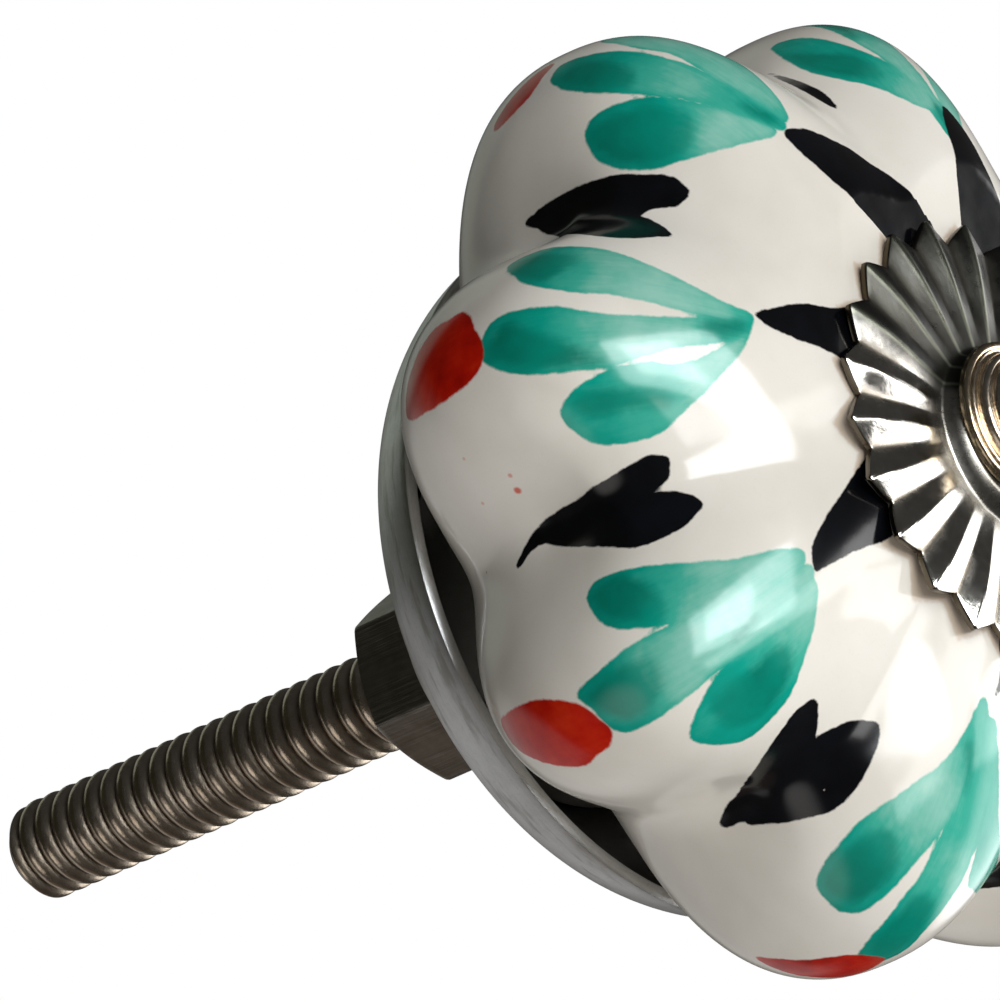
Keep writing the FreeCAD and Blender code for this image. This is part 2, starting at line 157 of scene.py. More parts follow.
def rounded(points, radius, steps=4):
    """A closed outline with each corner rounded as far as its edges allow."""
    out = []
    n = len(points)
    for i in range(n):
        p = np.array(points[i], float)
        a, b = np.array(points[i - 1], float), np.array(points[(i + 1) % n], float)
        la, lb = np.linalg.norm(a - p), np.linalg.norm(b - p)
        cut = min(radius, la * 0.45, lb * 0.45)
        if cut < 0.01:
            out.append(tuple(p))
            continue
        s, e = p + (a - p) / la * cut, p + (b - p) / lb * cut
        for k in range(steps + 1):
            w = k / steps
            out.append(tuple((1 - w) ** 2 * s + 2 * w * (1 - w) * p + w * w * e))
    return out


# ------------------------------------------------------------- ceramic body
CREST_R, MIDDLE_T = 22.14, 23.95
FRONT_H, FRONT_POWER, REAR_H, REAR_POWER = 10.2, 2.51, 12.08, 2.12
GROOVE, GROOVE_FADE, GROOVE_SOFT = 4.3, 3.38, 0.31
SEAT_T, BORE_R, FOOT_R, BODY_RISE, FRONT_LEAN = 33.35, 3.1, 8.6, 0.51, 0.5
CUP_SHIFT = (0.08, 0.21)


def crest(beta):
    front = beta >= 0
    p = np.where(front, FRONT_POWER, REAR_POWER)
    h = np.where(front, FRONT_H, REAR_H)
    c, s = np.cos(beta), np.abs(np.sin(beta))
    k = (c ** p + s ** p) ** (-1 / p)
    return CREST_R * c * k, MIDDLE_T + np.where(front, 1, -1) * h * s * k


def skin(beta, turned):
    """(r, T) of the lobed skin at a meridian angle and a turn, in radians."""
    e = 1e-4
    r0, t0 = crest(beta - e)
    r1, t1 = crest(beta + e)
    length = np.hypot(r1 - r0, t1 - t0)
    nr, nt = (t1 - t0) / length, -(r1 - r0) / length
    r, t = crest(beta)
    c = np.cos(4 * turned)
    g = 1 - (np.sqrt(c * c + GROOVE_SOFT ** 2) - GROOVE_SOFT) / (math.sqrt(1 + GROOVE_SOFT ** 2) - GROOVE_SOFT)
    d = GROOVE * (r / CREST_R) ** GROOVE_FADE * g
    r, t = r - d * nr, t - d * nt
    return r, t - FRONT_LEAN * np.clip((t - MIDDLE_T) / FRONT_H, 0, None) * np.sin(turned)


def on_skin(beta, turned):
    r, t = skin(beta, turned)
    return about_axis(r, t, turned, BODY_RISE)


def ceramic_rows():
    """Meridian angles of the skin's rows, dense where the paint is."""
    fine = np.radians(np.linspace(69, -44, 4000))
    r, t = crest(fine)
    s = np.concatenate([[0], np.cumsum(np.hypot(np.diff(r), np.diff(t)))])
    main = np.interp(np.linspace(0, s[-1], 126), s, fine)
    return np.concatenate([np.radians([80.5, 76, 72.5]), main, np.radians([-48, -53, -58, -63, -67.5])])


COLS = 640
betas = ceramic_rows()
turns = np.arange(COLS) / COLS * 2 * math.pi
B, TH = np.meshgrid(betas, turns, indexing="ij")
r, t = skin(B, TH)
r = np.where(B < -0.9, np.maximum(r, FOOT_R), np.maximum(r, BORE_R + 0.3))
t = np.minimum(t, SEAT_T)
shell_points = about_axis(r, t, TH, BODY_RISE)
foot = [(FOOT_R, 10.4), (FOOT_R, 7.75), (8.45, 7.42), (6.6, 5.96), (6.3, 5.76), (3.3, 5.76), (BORE_R, 5.95),
        (BORE_R, 12.0), (BORE_R, 20.0), (BORE_R, 28.0), (BORE_R, SEAT_T - 0.2), (BORE_R + 0.15, SEAT_T)]
foot_points = np.stack([about_axis(a, b, turns) + (np.array([CUP_SHIFT[0], 0, CUP_SHIFT[1]]) if k < 5 else 0)
                        for k, (a, b) in enumerate(foot)])
body_points = np.concatenate([shell_points, foot_points])
ROWS = len(body_points)
quads, I, J = ring_polys(ROWS, COLS, True)
mid = body_points[:, 0, :]
along = np.concatenate([[0], np.cumsum(np.linalg.norm(np.diff(np.concatenate([mid, mid[:1]]), axis=0), axis=1))])
body_uv = ring_uv(I, J, COLS, along)
beta_all = np.concatenate([B, np.full((len(foot), COLS), -1.5)]).ravel()
turn_all = np.concatenate([TH, np.broadcast_to(turns, (len(foot), COLS))]).ravel()
points_all = body_points.reshape(-1, 3)

# The painter's sprigs, one to a lobe, with a leaf in each groove. A stroke is
# a few stations along the brush's way. Each station is its two edges, as
# (meridian angle, turn) pairs in degrees from the crest or groove, and how
# thick the colour lies there.
STROKES = {
    "C": [
        ("petal upper", "teal", [
            (9.2, -10.2, 12.9, -7, 1), (11.4, -11.2, 15.9, -5.3, 1), (19.1, -12.1, 21.6, -3.7, 1),
            (26.5, -11.5, 28, -2.7, 0.75), (32.2, -10.9, 32.8, -2.4, 0.5), (36.5, -10.1, 37, -2.1, 0.42),
            (40.4, -8.7, 39.3, -2, 0.4), (44.7, -7.3, 43, -1.3, 0.4), (48.8, -5.6, 46.4, -0.9, 0.42),
            (52.2, -4.6, 50.8, -0.5, 0.55), (55, -4.3, 54.5, -0.6, 0.8)]),
        ("petal middle", "teal", [
            (6.5, 0.6, 5.3, 3.3, 1), (9.6, -1, 7.3, 4.5, 1), (14.2, -1.3, 11.6, 5.5, 0.95),
            (20.2, -1.2, 17.9, 6.5, 0.9), (26, -0.9, 24.6, 6.9, 0.75), (30.1, -0.1, 30.7, 7.1, 0.6),
            (35, 0.3, 34.6, 7, 0.5), (39.8, 0.2, 39.5, 5.9, 0.45), (45.7, -0.5, 45.5, 4.3, 0.5),
            (50.9, -2, 50.7, 3.2, 0.85), (54.4, -3.6, 54.3, 1, 0.95)]),
        ("petal lower", "teal", [
            (22.4, 10.2, 21.8, 11.4, 0.95), (25.1, 9.1, 22.4, 12.4, 0.9), (29.5, 8, 26, 14.3, 0.85),
            (33.3, 7.1, 31.1, 15.6, 0.85), (37.2, 6.6, 35.5, 16, 0.75), (40.6, 6.4, 39.6, 16.1, 0.7),
            (44.1, 6.7, 42.6, 15.3, 0.7), (47.5, 5.7, 45.3, 13.1, 0.5), (50.7, 3.2, 48.5, 10.7, 0.4),
            (54.4, -1.1, 52.9, 5, 0.5)]),
        ("petal upper core", "core", [
            (10.7, -9.9, 14, -6.8, 0.9), (14.4, -10.5, 17.4, -5.4, 1), (20.6, -10.1, 22.6, -4.5, 1),
            (24.9, -9.9, 25.4, -6.2, 0.7), (28.8, -10.1, 28.8, -7.5, 0.3)]),
        ("petal middle core", "core", [
            (8.9, 0.9, 6.9, 3.7, 0.8), (13.2, -0.5, 11.3, 4.8, 1), (18, 1.1, 16.5, 5.7, 1),
            (23.7, 2.8, 22.8, 6.4, 1), (28.8, 4.2, 28.8, 6.7, 0.9), (33, 6.2, 33.1, 7.1, 0.7)]),
        ("petal lower core", "core", [
            (26.5, 9.5, 25.4, 11.3, 0.8), (31.3, 8.9, 30.1, 12.4, 0.9), (35.5, 9.6, 34.8, 12.3, 0.9),
            (39.3, 9.9, 39.1, 12.3, 0.7), (42.8, 10.4, 42.7, 13.2, 0.7)]),
        ("core join", "core", [
            (48.1, -0.8, 47.9, 2.2, 0.7), (51.3, -1.6, 51.1, 1.9, 0.9), (53.9, -2.7, 53.8, 0.6, 0.8)]),
        ("stem", "black", [
            (55.4, -4.5, 55.6, -3.5, 1), (58.3, -7.4, 57.3, -2.2, 1), (61.7, -11.3, 60.9, -1.4, 1),
            (65.7, -15, 64.2, -1.2, 1), (69.4, -21.8, 67.9, -0.1, 1), (72.2, -26.7, 71.7, 0.8, 1)]),
        ("red", "red", [
            (-4.1, -3.7, 3.5, -1.2, 1), (-9.7, -4, 6.6, 1.4, 1), (-14.1, -2.8, 4.6, 3.8, 1),
            (-18.8, -1.1, -2.5, 5.1, 1), (-22.8, 0.9, -10.2, 5.4, 0.9), (-24.8, 2.5, -18.8, 4.8, 0.8)]),
    ],
    "CD": [
        ("leaf upper", "black", [
            (-22.5, 2.1, -20.6, 2.9, 1), (-16.2, -0.4, -16, 1.5, 1), (-4.4, -1.9, -8, 1.3, 1),
            (14.7, -2.5, 14.7, 3.6, 1), (29.1, -3.2, 30.4, 2.8, 1), (35.7, -4, 37.2, 0.8, 1),
            (39, -4.7, 41.6, -0.6, 1), (41.1, -4.1, 42.3, -2.6, 1)]),
        ("leaf lower", "black", [
            (-4.9, -1.2, -9, 1.4, 1), (8.9, -1.2, 4.2, 3.3, 1), (27.3, -0.7, 21.3, 5.1, 1),
            (36.4, -0, 30.3, 6.8, 1), (41.4, 1, 35.8, 7, 1), (43.8, 2.4, 40.6, 6.6, 1), (44.8, 3.8, 43.6, 5.4, 1)]),
    ],
    "D": [
        ("petal upper", "teal", [
            (11.9, -13.1, 11.8, -11.5, 1), (14.3, -13.9, 12.7, -10.3, 1), (19.4, -14, 15.3, -8.7, 1),
            (25.4, -13.8, 19.8, -7.4, 1), (30.1, -13.2, 23.9, -6.6, 0.9), (34.4, -12.3, 28.3, -5.7, 0.75),
            (39.6, -10.7, 32.7, -4.5, 0.5), (45.1, -8.8, 38.9, -3.1, 0.45), (50.1, -7.3, 45.7, -2.4, 0.5),
            (53.3, -5.7, 51.5, -1.9, 0.5)]),
        ("petal middle", "teal", [
            (0.3, -3, 3.8, -1.4, 1), (2.9, -3.8, 4.8, 0.7, 1), (10.9, -4.7, 6.9, 2.7, 0.95),
            (18.5, -5.5, 13.4, 3.2, 0.8), (25.3, -5.7, 21, 3, 0.55), (31.2, -5.1, 27.7, 2.6, 0.45),
            (37.3, -4.2, 34.5, 2.3, 0.5), (43.2, -3.4, 40.9, 2.3, 0.5), (49.1, -3, 47.5, 1.6, 0.45),
            (53.2, -2.9, 52.4, 0.4, 0.4)]),
        ("petal lower", "teal", [
            (20.6, 6.7, 20.5, 8.6, 0.85), (24.1, 5.1, 23.6, 10.4, 0.9), (29, 3.2, 29.7, 12.6, 0.95),
            (33.5, 2, 36.2, 12.5, 0.95), (38.9, 1.1, 41.5, 11.4, 0.85), (43.9, 0.2, 45.8, 8.7, 0.6),
            (48.2, -0.7, 49.2, 6, 0.45), (51.6, -1.8, 52.2, 2.6, 0.45)]),
        ("petal upper core", "core", [
            (14.4, -13, 13.8, -11, 0.9), (19.8, -13.5, 16.6, -9.2, 1), (25.5, -13.3, 20.9, -8, 1),
            (28.9, -11.8, 24.3, -6.9, 0.9), (30.7, -9.3, 27.5, -6.3, 0.6)]),
        ("petal middle core", "core", [
            (3.4, -3.1, 5.9, -0.6, 0.9), (10, -3.9, 9.3, 1.6, 1), (16.3, -4.3, 15.4, 2, 0.8),
            (22.2, -3.7, 21.1, 1, 0.5)]),
        ("petal lower core", "core", [
            (29.2, 4.3, 29.3, 9.9, 0.7), (34.2, 4.5, 35.5, 11.3, 1), (39.7, 4, 40.4, 10.5, 1),
            (43.2, 4, 43.8, 8.6, 0.6)]),
        ("streak core", "core", [
            (36.5, -0.2, 36.9, 0.9, 0.5), (40, -1.1, 40.2, 0.3, 0.8), (43, -1.4, 43.2, -0.1, 0.6)]),
        ("stem", "black", [
            (53.2, -1, 53.7, -0.4, 1), (54.5, -4.3, 55.9, 0.1, 1), (58.5, -7.7, 60.6, 1.7, 1),
            (63.3, -11.3, 65.3, 5, 1), (68.3, -16.9, 69.3, 4.9, 1), (71.2, -20.3, 72.3, 8.4, 1)]),
        ("red", "red", [
            (-25.9, -3.5, -27.6, -1.7, 0.9), (-17.4, -4.3, -25.9, 0.8, 1), (-9.8, -4.4, -19.7, 2.6, 1),
            (-3, -3.4, -13.3, 4, 1), (2.5, -1.7, -7.3, 4.7, 1), (5, 0.8, -0.5, 3.7, 1)]),
    ],
    "DE": [
        ("leaf left", "black", [
            (-10.4, 2.2, -7.4, 3.2, 1), (-1.6, 0.4, -0.6, 3.3, 1), (21, -3.2, 16.8, 3.7, 1),
            (30.8, -5.9, 32.5, 1.8, 1), (36.2, -7.4, 38.9, -0.7, 1), (40.2, -8.2, 42.2, -3.3, 1),
            (42.8, -7.9, 43.8, -5.9, 1)]),
        ("leaf right", "black", [
            (3.5, 1.1, 2.6, 4, 1), (27.9, -0.4, 24.1, 5.5, 1), (35.9, -1.4, 31.6, 6.8, 1), (40, -2, 37.6, 7.2, 1),
            (43, -1.3, 42.2, 6.7, 1), (46.3, 0.7, 45.8, 6, 1), (47.9, 3.3, 47.5, 5, 1)]),
    ],
    "A": [
        ("petal middle", "teal", [
            (4.6, 4.3, 6.3, 5.9, 1), (5, 2.8, 9.2, 7, 1), (11.4, 2.2, 15.5, 7.9, 1), (17, 1.8, 21.9, 8.3, 1),
            (24.5, 1.2, 29.7, 7.9, 0.8), (30.3, 0.7, 34.7, 7, 0.6), (36.3, -0.2, 39.7, 5.6, 0.6),
            (42.1, -1.2, 43.9, 4.4, 0.75), (46.6, -2.4, 47.9, 2.6, 0.85), (49.8, -3, 50.6, -0.2, 0.8)]),
        ("petal lower", "teal", [
            (19.4, 12.2, 20.4, 13.6, 1), (20.4, 10.9, 22.4, 14.9, 1), (25.1, 9.7, 28.5, 16.6, 1),
            (29.8, 8.3, 35.2, 17.1, 1), (33.9, 7.1, 38.9, 16.6, 1), (37.6, 6.1, 42.2, 14.4, 0.8),
            (41.3, 4.9, 44.7, 12.1, 0.5), (45.6, 2.3, 47.6, 8.4, 0.45), (49.4, -0.2, 50.3, 2.9, 0.45)]),
        ("petal middle core", "core", [
            (7.6, 4.4, 9.5, 6.4, 0.8), (12.8, 3.5, 15.6, 7.5, 1), (18.4, 3.2, 21.9, 7.9, 1),
            (24.3, 3.7, 27.3, 7.4, 0.8)]),
        ("petal lower core", "core", [
            (21.5, 11.8, 22.7, 14.2, 0.9), (26.2, 10.7, 29.2, 16, 1), (30.9, 9.6, 35, 16.6, 1),
            (34.8, 8.4, 38.9, 15.9, 0.9), (38.8, 8, 41.5, 13.4, 0.6)]),
        ("core join", "core", [
            (44.1, 0.4, 44.6, 2.5, 0.6), (46.8, -1.1, 47.4, 1.5, 1), (49.3, -2.2, 49.7, -0.2, 0.8)]),
        ("red", "red", [
            (1.4, 1, 3.3, 2.4, 0.9), (-2, 1.5, 1.1, 4, 1), (-5.5, 2.9, -1.7, 6.2, 1), (-10, 4.5, -6.5, 7.2, 1),
            (-13.8, 6, -12, 7.6, 0.9)]),
    ],
    "AC": [
        ("leaf upper", "black", [
            (-10.4, -3.6, -9.3, -2.8, 1), (-3.7, -4.2, -3.2, -1.7, 1), (7.5, -4.7, 20.8, 4.5, 1),
            (23.9, -4.7, 31.3, 6.6, 1), (34.2, -5, 36.5, 5, 1), (39.2, -5.4, 40.6, 0.3, 1),
            (42.3, -5.6, 44, -1, 1), (44.4, -4.8, 45.1, -2.8, 1)]),
        ("leaf lower", "black", [
            (-5.3, -2.6, -5.2, -2, 1), (12.5, -1.2, 23.5, 6.1, 1), (32.1, 1.3, 33.3, 8.6, 1),
            (38.7, 1.6, 38.7, 8.3, 1), (41.9, 3, 41.5, 7.3, 1), (44.3, 4.9, 44, 6.4, 1)]),
    ],
    "B": [
        ("petal lower", "teal", [
            (19.1, 12.2, 23.8, 14.1, 0.8), (20.7, 11.4, 29.6, 15.4, 0.9), (25.1, 10.5, 36.5, 16.8, 1),
            (29.9, 9.6, 40.8, 16.4, 1), (34.8, 8.6, 43.7, 14.5, 1), (39.1, 6.5, 46, 11.5, 0.8),
            (42.4, 3.8, 48.3, 8.5, 0.6), (45.6, 1.3, 49.7, 5.9, 0.5), (47.5, -1.3, 50.3, 2.1, 0.5)]),
        ("petal lower core", "core", [
            (28.2, 14.1, 31.6, 15.7, 0.8), (32.7, 13.3, 37.5, 16.3, 1), (35.8, 11.4, 41.3, 15.3, 1),
            (38, 9.2, 43.6, 13.2, 1), (41.3, 7.8, 44.8, 10.8, 0.6)]),
    ],
    "AB": [
        ("leaf", "black", [
            (30.9, -3.9, 31.8, -3.4, 0.5), (37.2, -3.1, 38.8, -1.5, 0.8), (41.9, -3.1, 43.6, -0.8, 1),
            (44.9, -3.3, 46.5, -0.7, 1), (48.2, -2.5, 48.7, -1.3, 1)]),
    ],
    "E": [
        ("petal upper", "teal", [
            (14.5, -11.3, 12.4, -9.7, 1), (19.6, -12.2, 12.8, -7.4, 1), (27.7, -12.8, 16.6, -5.7, 1),
            (33.8, -12.7, 22.4, -5.1, 0.9), (38.8, -11.6, 28.3, -4.7, 0.7), (43.6, -9.4, 33.5, -4, 0.45),
            (47.3, -6.9, 38.9, -2.8, 0.4), (51.3, -4.7, 45.6, -0.7, 0.6), (55.4, -2.8, 52.4, 2, 0.7),
            (57.2, -1.8, 57.4, 0.1, 0.8)]),
        ("petal middle", "teal", [
            (7, -1.4, 6.5, 3.2, 1), (12.6, -2.4, 12.6, 3.9, 1), (19.6, -3, 20.3, 3.4, 0.95),
            (25.5, -3.2, 27, 3.7, 0.8), (30.5, -3, 31.8, 4.2, 0.6), (35.5, -3, 36.6, 4.3, 0.6),
            (42, -2.7, 43.1, 4.3, 0.65), (47.7, -2.2, 48.9, 4.5, 0.7), (54.1, -1.6, 54.8, 3.6, 0.7)]),
        ("petal third", "teal", [
            (31.6, 5.8, 31, 7.7, 0.8), (34.6, 5, 21.7, 24.5, 0.9), (38, 4.4, 37.3, 13.1, 0.9),
            (42.2, 3.4, 43, 8.4, 0.85), (47.5, 2.4, 48.1, 6, 0.8), (52.3, 1, 52.6, 4.5, 0.7)]),
        ("petal upper core", "core", [
            (18, -11.3, 14.9, -8.9, 1), (26.1, -11.9, 18.4, -6.5, 1), (31.6, -11.4, 24.3, -5.9, 1),
            (34.7, -10.1, 29.1, -5.8, 0.7)]),
        ("petal middle core", "core", [
            (11.1, -1.6, 10.4, 2.4, 0.9), (19.7, -2.4, 18.9, 2.8, 1), (26.5, -2.4, 26.1, 2.1, 0.8)]),
        ("petal join core", "core", [
            (51.1, -4.2, 51.3, -1.1, 0.7), (48.3, -2.4, 47.5, -0.6, 0.7), (45.2, -1.8, 44.1, -0.5, 0.4)]),
        ("red", "red", [
            (-17.3, -4.8, -17.6, -3.8, 0.9), (-10.9, -4.4, -13.9, -1.2, 1), (-3.5, -3.2, -9.4, 1, 1),
            (4.5, -1.9, -5.3, 3.8, 1), (8, 0.2, -0.4, 4.2, 1), (8.6, 2.1, 5.1, 3.4, 0.9)]),
    ],
}
A_STEM = [
    (50.7, -1.9, 51.6, 0.4, 1), (51.8, -5.8, 53.3, 0.4, 1), (53.5, -9.2, 55.2, 0.1, 1), (56.1, -14.9, 58.9, -1.2, 1),
    (58.3, -18, 61.2, -2.5, 1), (60.6, -22.5, 63, -3.8, 1), (63.2, -25.9, 65, -5.6, 1),
    (66, -29.5, 67, -7.5, 1), (66.9, -31.1, 68.6, -10, 1)]
STROKES["A"] += [
    ("petal upper", "teal", [
        (12.9, -5, 15.4, -0.7, 0.5), (18.5, -9, 24.6, 0.6, 0.5), (26.5, -11, 30.8, -0.4, 0.45), (33, -11, 36.6, 0.1, 0.5),
        (39.1, -10, 41.2, 0.2, 0.5), (44.8, -8, 46, -0.8, 0.55), (49, -5.5, 49.8, -1.9, 0.7)]),
    ("stem", "black", A_STEM),
]
STROKES["B"] += [STROKES["C"][0], STROKES["C"][1], STROKES["C"][3], STROKES["C"][4], STROKES["C"][6],
    ("stem", "black", [
        (47.8, -2.2, 48.4, -0.6, 1), (50.9, -6, 51.3, 0.6, 1), (55, -9, 55.1, 1.1, 1), (59.1, -12, 59, 1.6, 1),
        (62.7, -15, 62.5, 1.4, 1), (67.3, -18, 66.8, 1.5, 1)]),
    STROKES["C"][8],
]
STROKES["E"] += [
    ("stem", "black", [
        (57.6, 1.7, 57.9, 2.5, 1), (59.6, 2.7, 59.4, 5.5, 1), (61.6, 3, 61.2, 8.5, 1), (64.3, 2.2, 63.8, 11, 1),
        (67.5, 1, 67.2, 12.5, 1), (71, 0, 70.8, 14, 1)]),
]

# Which sprig goes where: turn of the lobe or groove, sprig, and a small shift
# of it along the meridian and round the axis, as a hand never repeats.
PLACES = [
    (0, "A", 0, 0), (45, "C", 0, 0), (90, "D", 0, 0), (135, "E", 0, 0), (-45, "B", 0, 0),
    (180, "D", 1.0, 0.8), (225, "C", -1.2, -0.7), (270, "D", -0.6, 1.2),
    (22.5, "AC", 0, 0), (67.5, "CD", 0, 0), (112.5, "DE", 0, 0), (-22.5, "AB", 0, 0),
    (157.5, "CD", 0.8, 0.3), (202.5, "DE", -1.0, 0.2), (247.5, "AC", 0.7, -0.4), (292.5, "CD", -0.9, 0.5),
]


def along_brush(stations, steps=5):
    """The stations joined by a smooth curve through each of them."""
    p = np.asarray(stations, float)
    q = np.concatenate([[2 * p[0] - p[1]], p, [2 * p[-1] - p[-2]]])
    out = []
    for i in range(1, len(q) - 2):
        for w in np.arange(steps) / steps:
            a, b, c, d = q[i - 1], q[i], q[i + 1], q[i + 2]
            out.append(0.5 * (2 * b + (c - a) * w + (2 * a - 5 * b + 4 * c - d) * w ** 2
                              + (3 * b - a - 3 * c + d) * w ** 3))
    out.append(p[-1])
    return np.array(out)


def skin_at(spots):
    return on_skin(np.radians(spots[:, 0]), np.radians(spots[:, 1]))


LAYERS = {k: {"d": np.full(len(points_all), -3.0), "w": np.full(len(points_all), 1e-9),
              "n": np.full(len(points_all), 0.5e-9), "s": np.full(len(points_all), 0.0)}
          for k in ("teal", "core", "black", "red")}
beta_deg, turn_deg = np.degrees(beta_all), np.degrees(turn_all)


def soft_loop(rim, spread):
    """A closed outline with its corners rounded over a spread in mm."""
    rim3 = skin_at(rim)
    s = np.concatenate([[0], np.cumsum(np.linalg.norm(np.roll(rim3, -1, 0) - rim3, axis=1))])
    n = max(40, int(s[-1] / 0.12))
    gap = s[-1] / n
    closed = np.concatenate([rim, rim[:1]])
    even = np.stack([np.interp(np.arange(n) * gap, s, closed[:, k]) for k in (0, 1)], -1)
    reach = min(int(3 * spread / gap) + 1, n // 3)
    k = np.arange(-reach, reach + 1)
    w = np.exp(-0.5 * (k * gap / spread) ** 2)
    w = w / w.sum()
    return sum(a * np.roll(even, -int(b), axis=0) for a, b in zip(w, k))


def paint(kind, stations, centre, seed):
    layer = LAYERS["black" if kind == "grey" else kind]
    path = along_brush(stations)
    path[:, 1] += centre
    path[:, 3] += centre
    mid = (path[:, 0:2] + path[:, 2:4]) / 2
    wide = np.linalg.norm(skin_at(path[:, 0:2]) - skin_at(path[:, 2:4]), axis=1) / 2
    ends = []
    for i, j in ((0, 2), (-1, -3)):
        way = mid[i] - mid[j]
        mm = np.linalg.norm(skin_at(mid[i:i + 1] if i == 0 else mid[-1:]) - skin_at(mid[j:j + 1]))
        ends.append(mid[i] + way / max(mm, 1e-6) * wide[i] * 0.55)
    sweep = np.radians(np.linspace(15, 165, 11))[:, None]
    caps = [mid[i] + np.cos(sweep) * (path[i, first] - mid[i]) + np.sin(sweep) * (tip - mid[i])
            for i, first, tip in ((0, slice(2, 4), ends[0]), (-1, slice(0, 2), ends[1]))]
    rim = np.concatenate([caps[0], path[:, 0:2], caps[1], path[::-1, 2:4]])
    rim = soft_loop(rim, {"teal": 0.30, "core": 0.30, "red": 0.22}.get(kind, 0.07))
    rim3 = skin_at(rim)
    turned = (turn_deg - centre + 180) % 360 - 180 + centre
    near = np.nonzero((beta_deg > rim[:, 0].min() - 7) & (beta_deg < rim[:, 0].max() + 7)
                      & (turned > rim[:, 1].min() - 5) & (turned < rim[:, 1].max() + 5))[0]
    if not len(near):
        return
    x, y = beta_deg[near], turned[near]
    inside = np.zeros(len(near), bool)
    best = np.full(len(near), 1e9)
    P = points_all[near]
    for k in range(len(rim)):
        (x0, y0), (x1, y1) = rim[k], rim[(k + 1) % len(rim)]
        if y0 != y1:
            hit = ((y0 > y) != (y1 > y)) & (x < (x1 - x0) * (y - y0) / (y1 - y0) + x0)
            inside ^= hit
        a, b = rim3[k], rim3[(k + 1) % len(rim)]
        ab = b - a
        w = np.clip(((P - a) @ ab) / max(ab @ ab, 1e-9), 0, 1)
        best = np.minimum(best, np.linalg.norm(P - a - w[:, None] * ab, axis=1))
    signed = np.where(inside, best, -best)
    mid3 = skin_at(mid)
    nearest = np.argmin(((P[:, None, :] - mid3[None]) ** 2).sum(-1), axis=1)
    thick = path[nearest, 4] * (0.72 if kind == "grey" else 1.0)
    layer["d"][near] = np.maximum(layer["d"][near], signed)
    w = np.exp(np.clip(signed * 6, -18, 12))
    layer["w"][near] += w
    layer["n"][near] += w * thick
    layer["s"][near] = np.where(signed > layer["s"][near] * 0 - 0.4, seed, layer["s"][near])


count = 0
for centre, sprig, up, round_ in PLACES:
    for name, kind, stations in STROKES[sprig]:
        moved = [(a + up, b + round_, c + up, d + round_, e) for a, b, c, d, e in stations]
        count += 1
        paint(kind, moved, centre, count * 1.37)

# The rosette's outline, for the painted contact shadow round it on the glaze.
PLEATS, TIP_R, NOTCH_R, ROSETTE_TURN, ROSETTE_RISE = 23, 10.08, 9.0, -5.5, -0.6


def pleat(turned):
    """1 on a ridge of the rosette, 0 in a valley."""
    x = (turned - math.radians(ROSETTE_TURN)) / (2 * math.pi) * PLEATS
    return np.abs((x % 1.0) - 0.5) * 2


ox, oz = points_all[:, 0], points_all[:, 2] - ROSETTE_RISE
spread = np.hypot(ox, oz)
outline_r = NOTCH_R + (TIP_R - NOTCH_R) * pleat(np.arctan2(-ox, oz))
# painted contact shadow: a band just outside the rosette's edge
rosette_contact_shadow = np.clip(1 - (spread - outline_r) / 0.45, 0, 1) * (beta_all > 0.6)

floats = {}
for key, layer in LAYERS.items():
    floats[key + "_d"] = layer["d"]
    floats[key + "_n"] = layer["n"] / layer["w"]
floats["rosette_contact_shadow"] = rosette_contact_shadow
ceramic = make_mesh("glazed_knob_body", points_all, [quads], body_uv, floats, sharp=50.0)

# -------------------------------------------------------------- front rosette
SHEET, FLAT_T, FALL, MIDDLE_FALL, RIDGE, TIP_RIDGE = 0.35, 33.76, 0.5, 0.16, 0.6, 0.5
INNER_R, HUB_R, HUB_RISE, HOLE_R = 4.1, 3.65, 0.75, 2.75


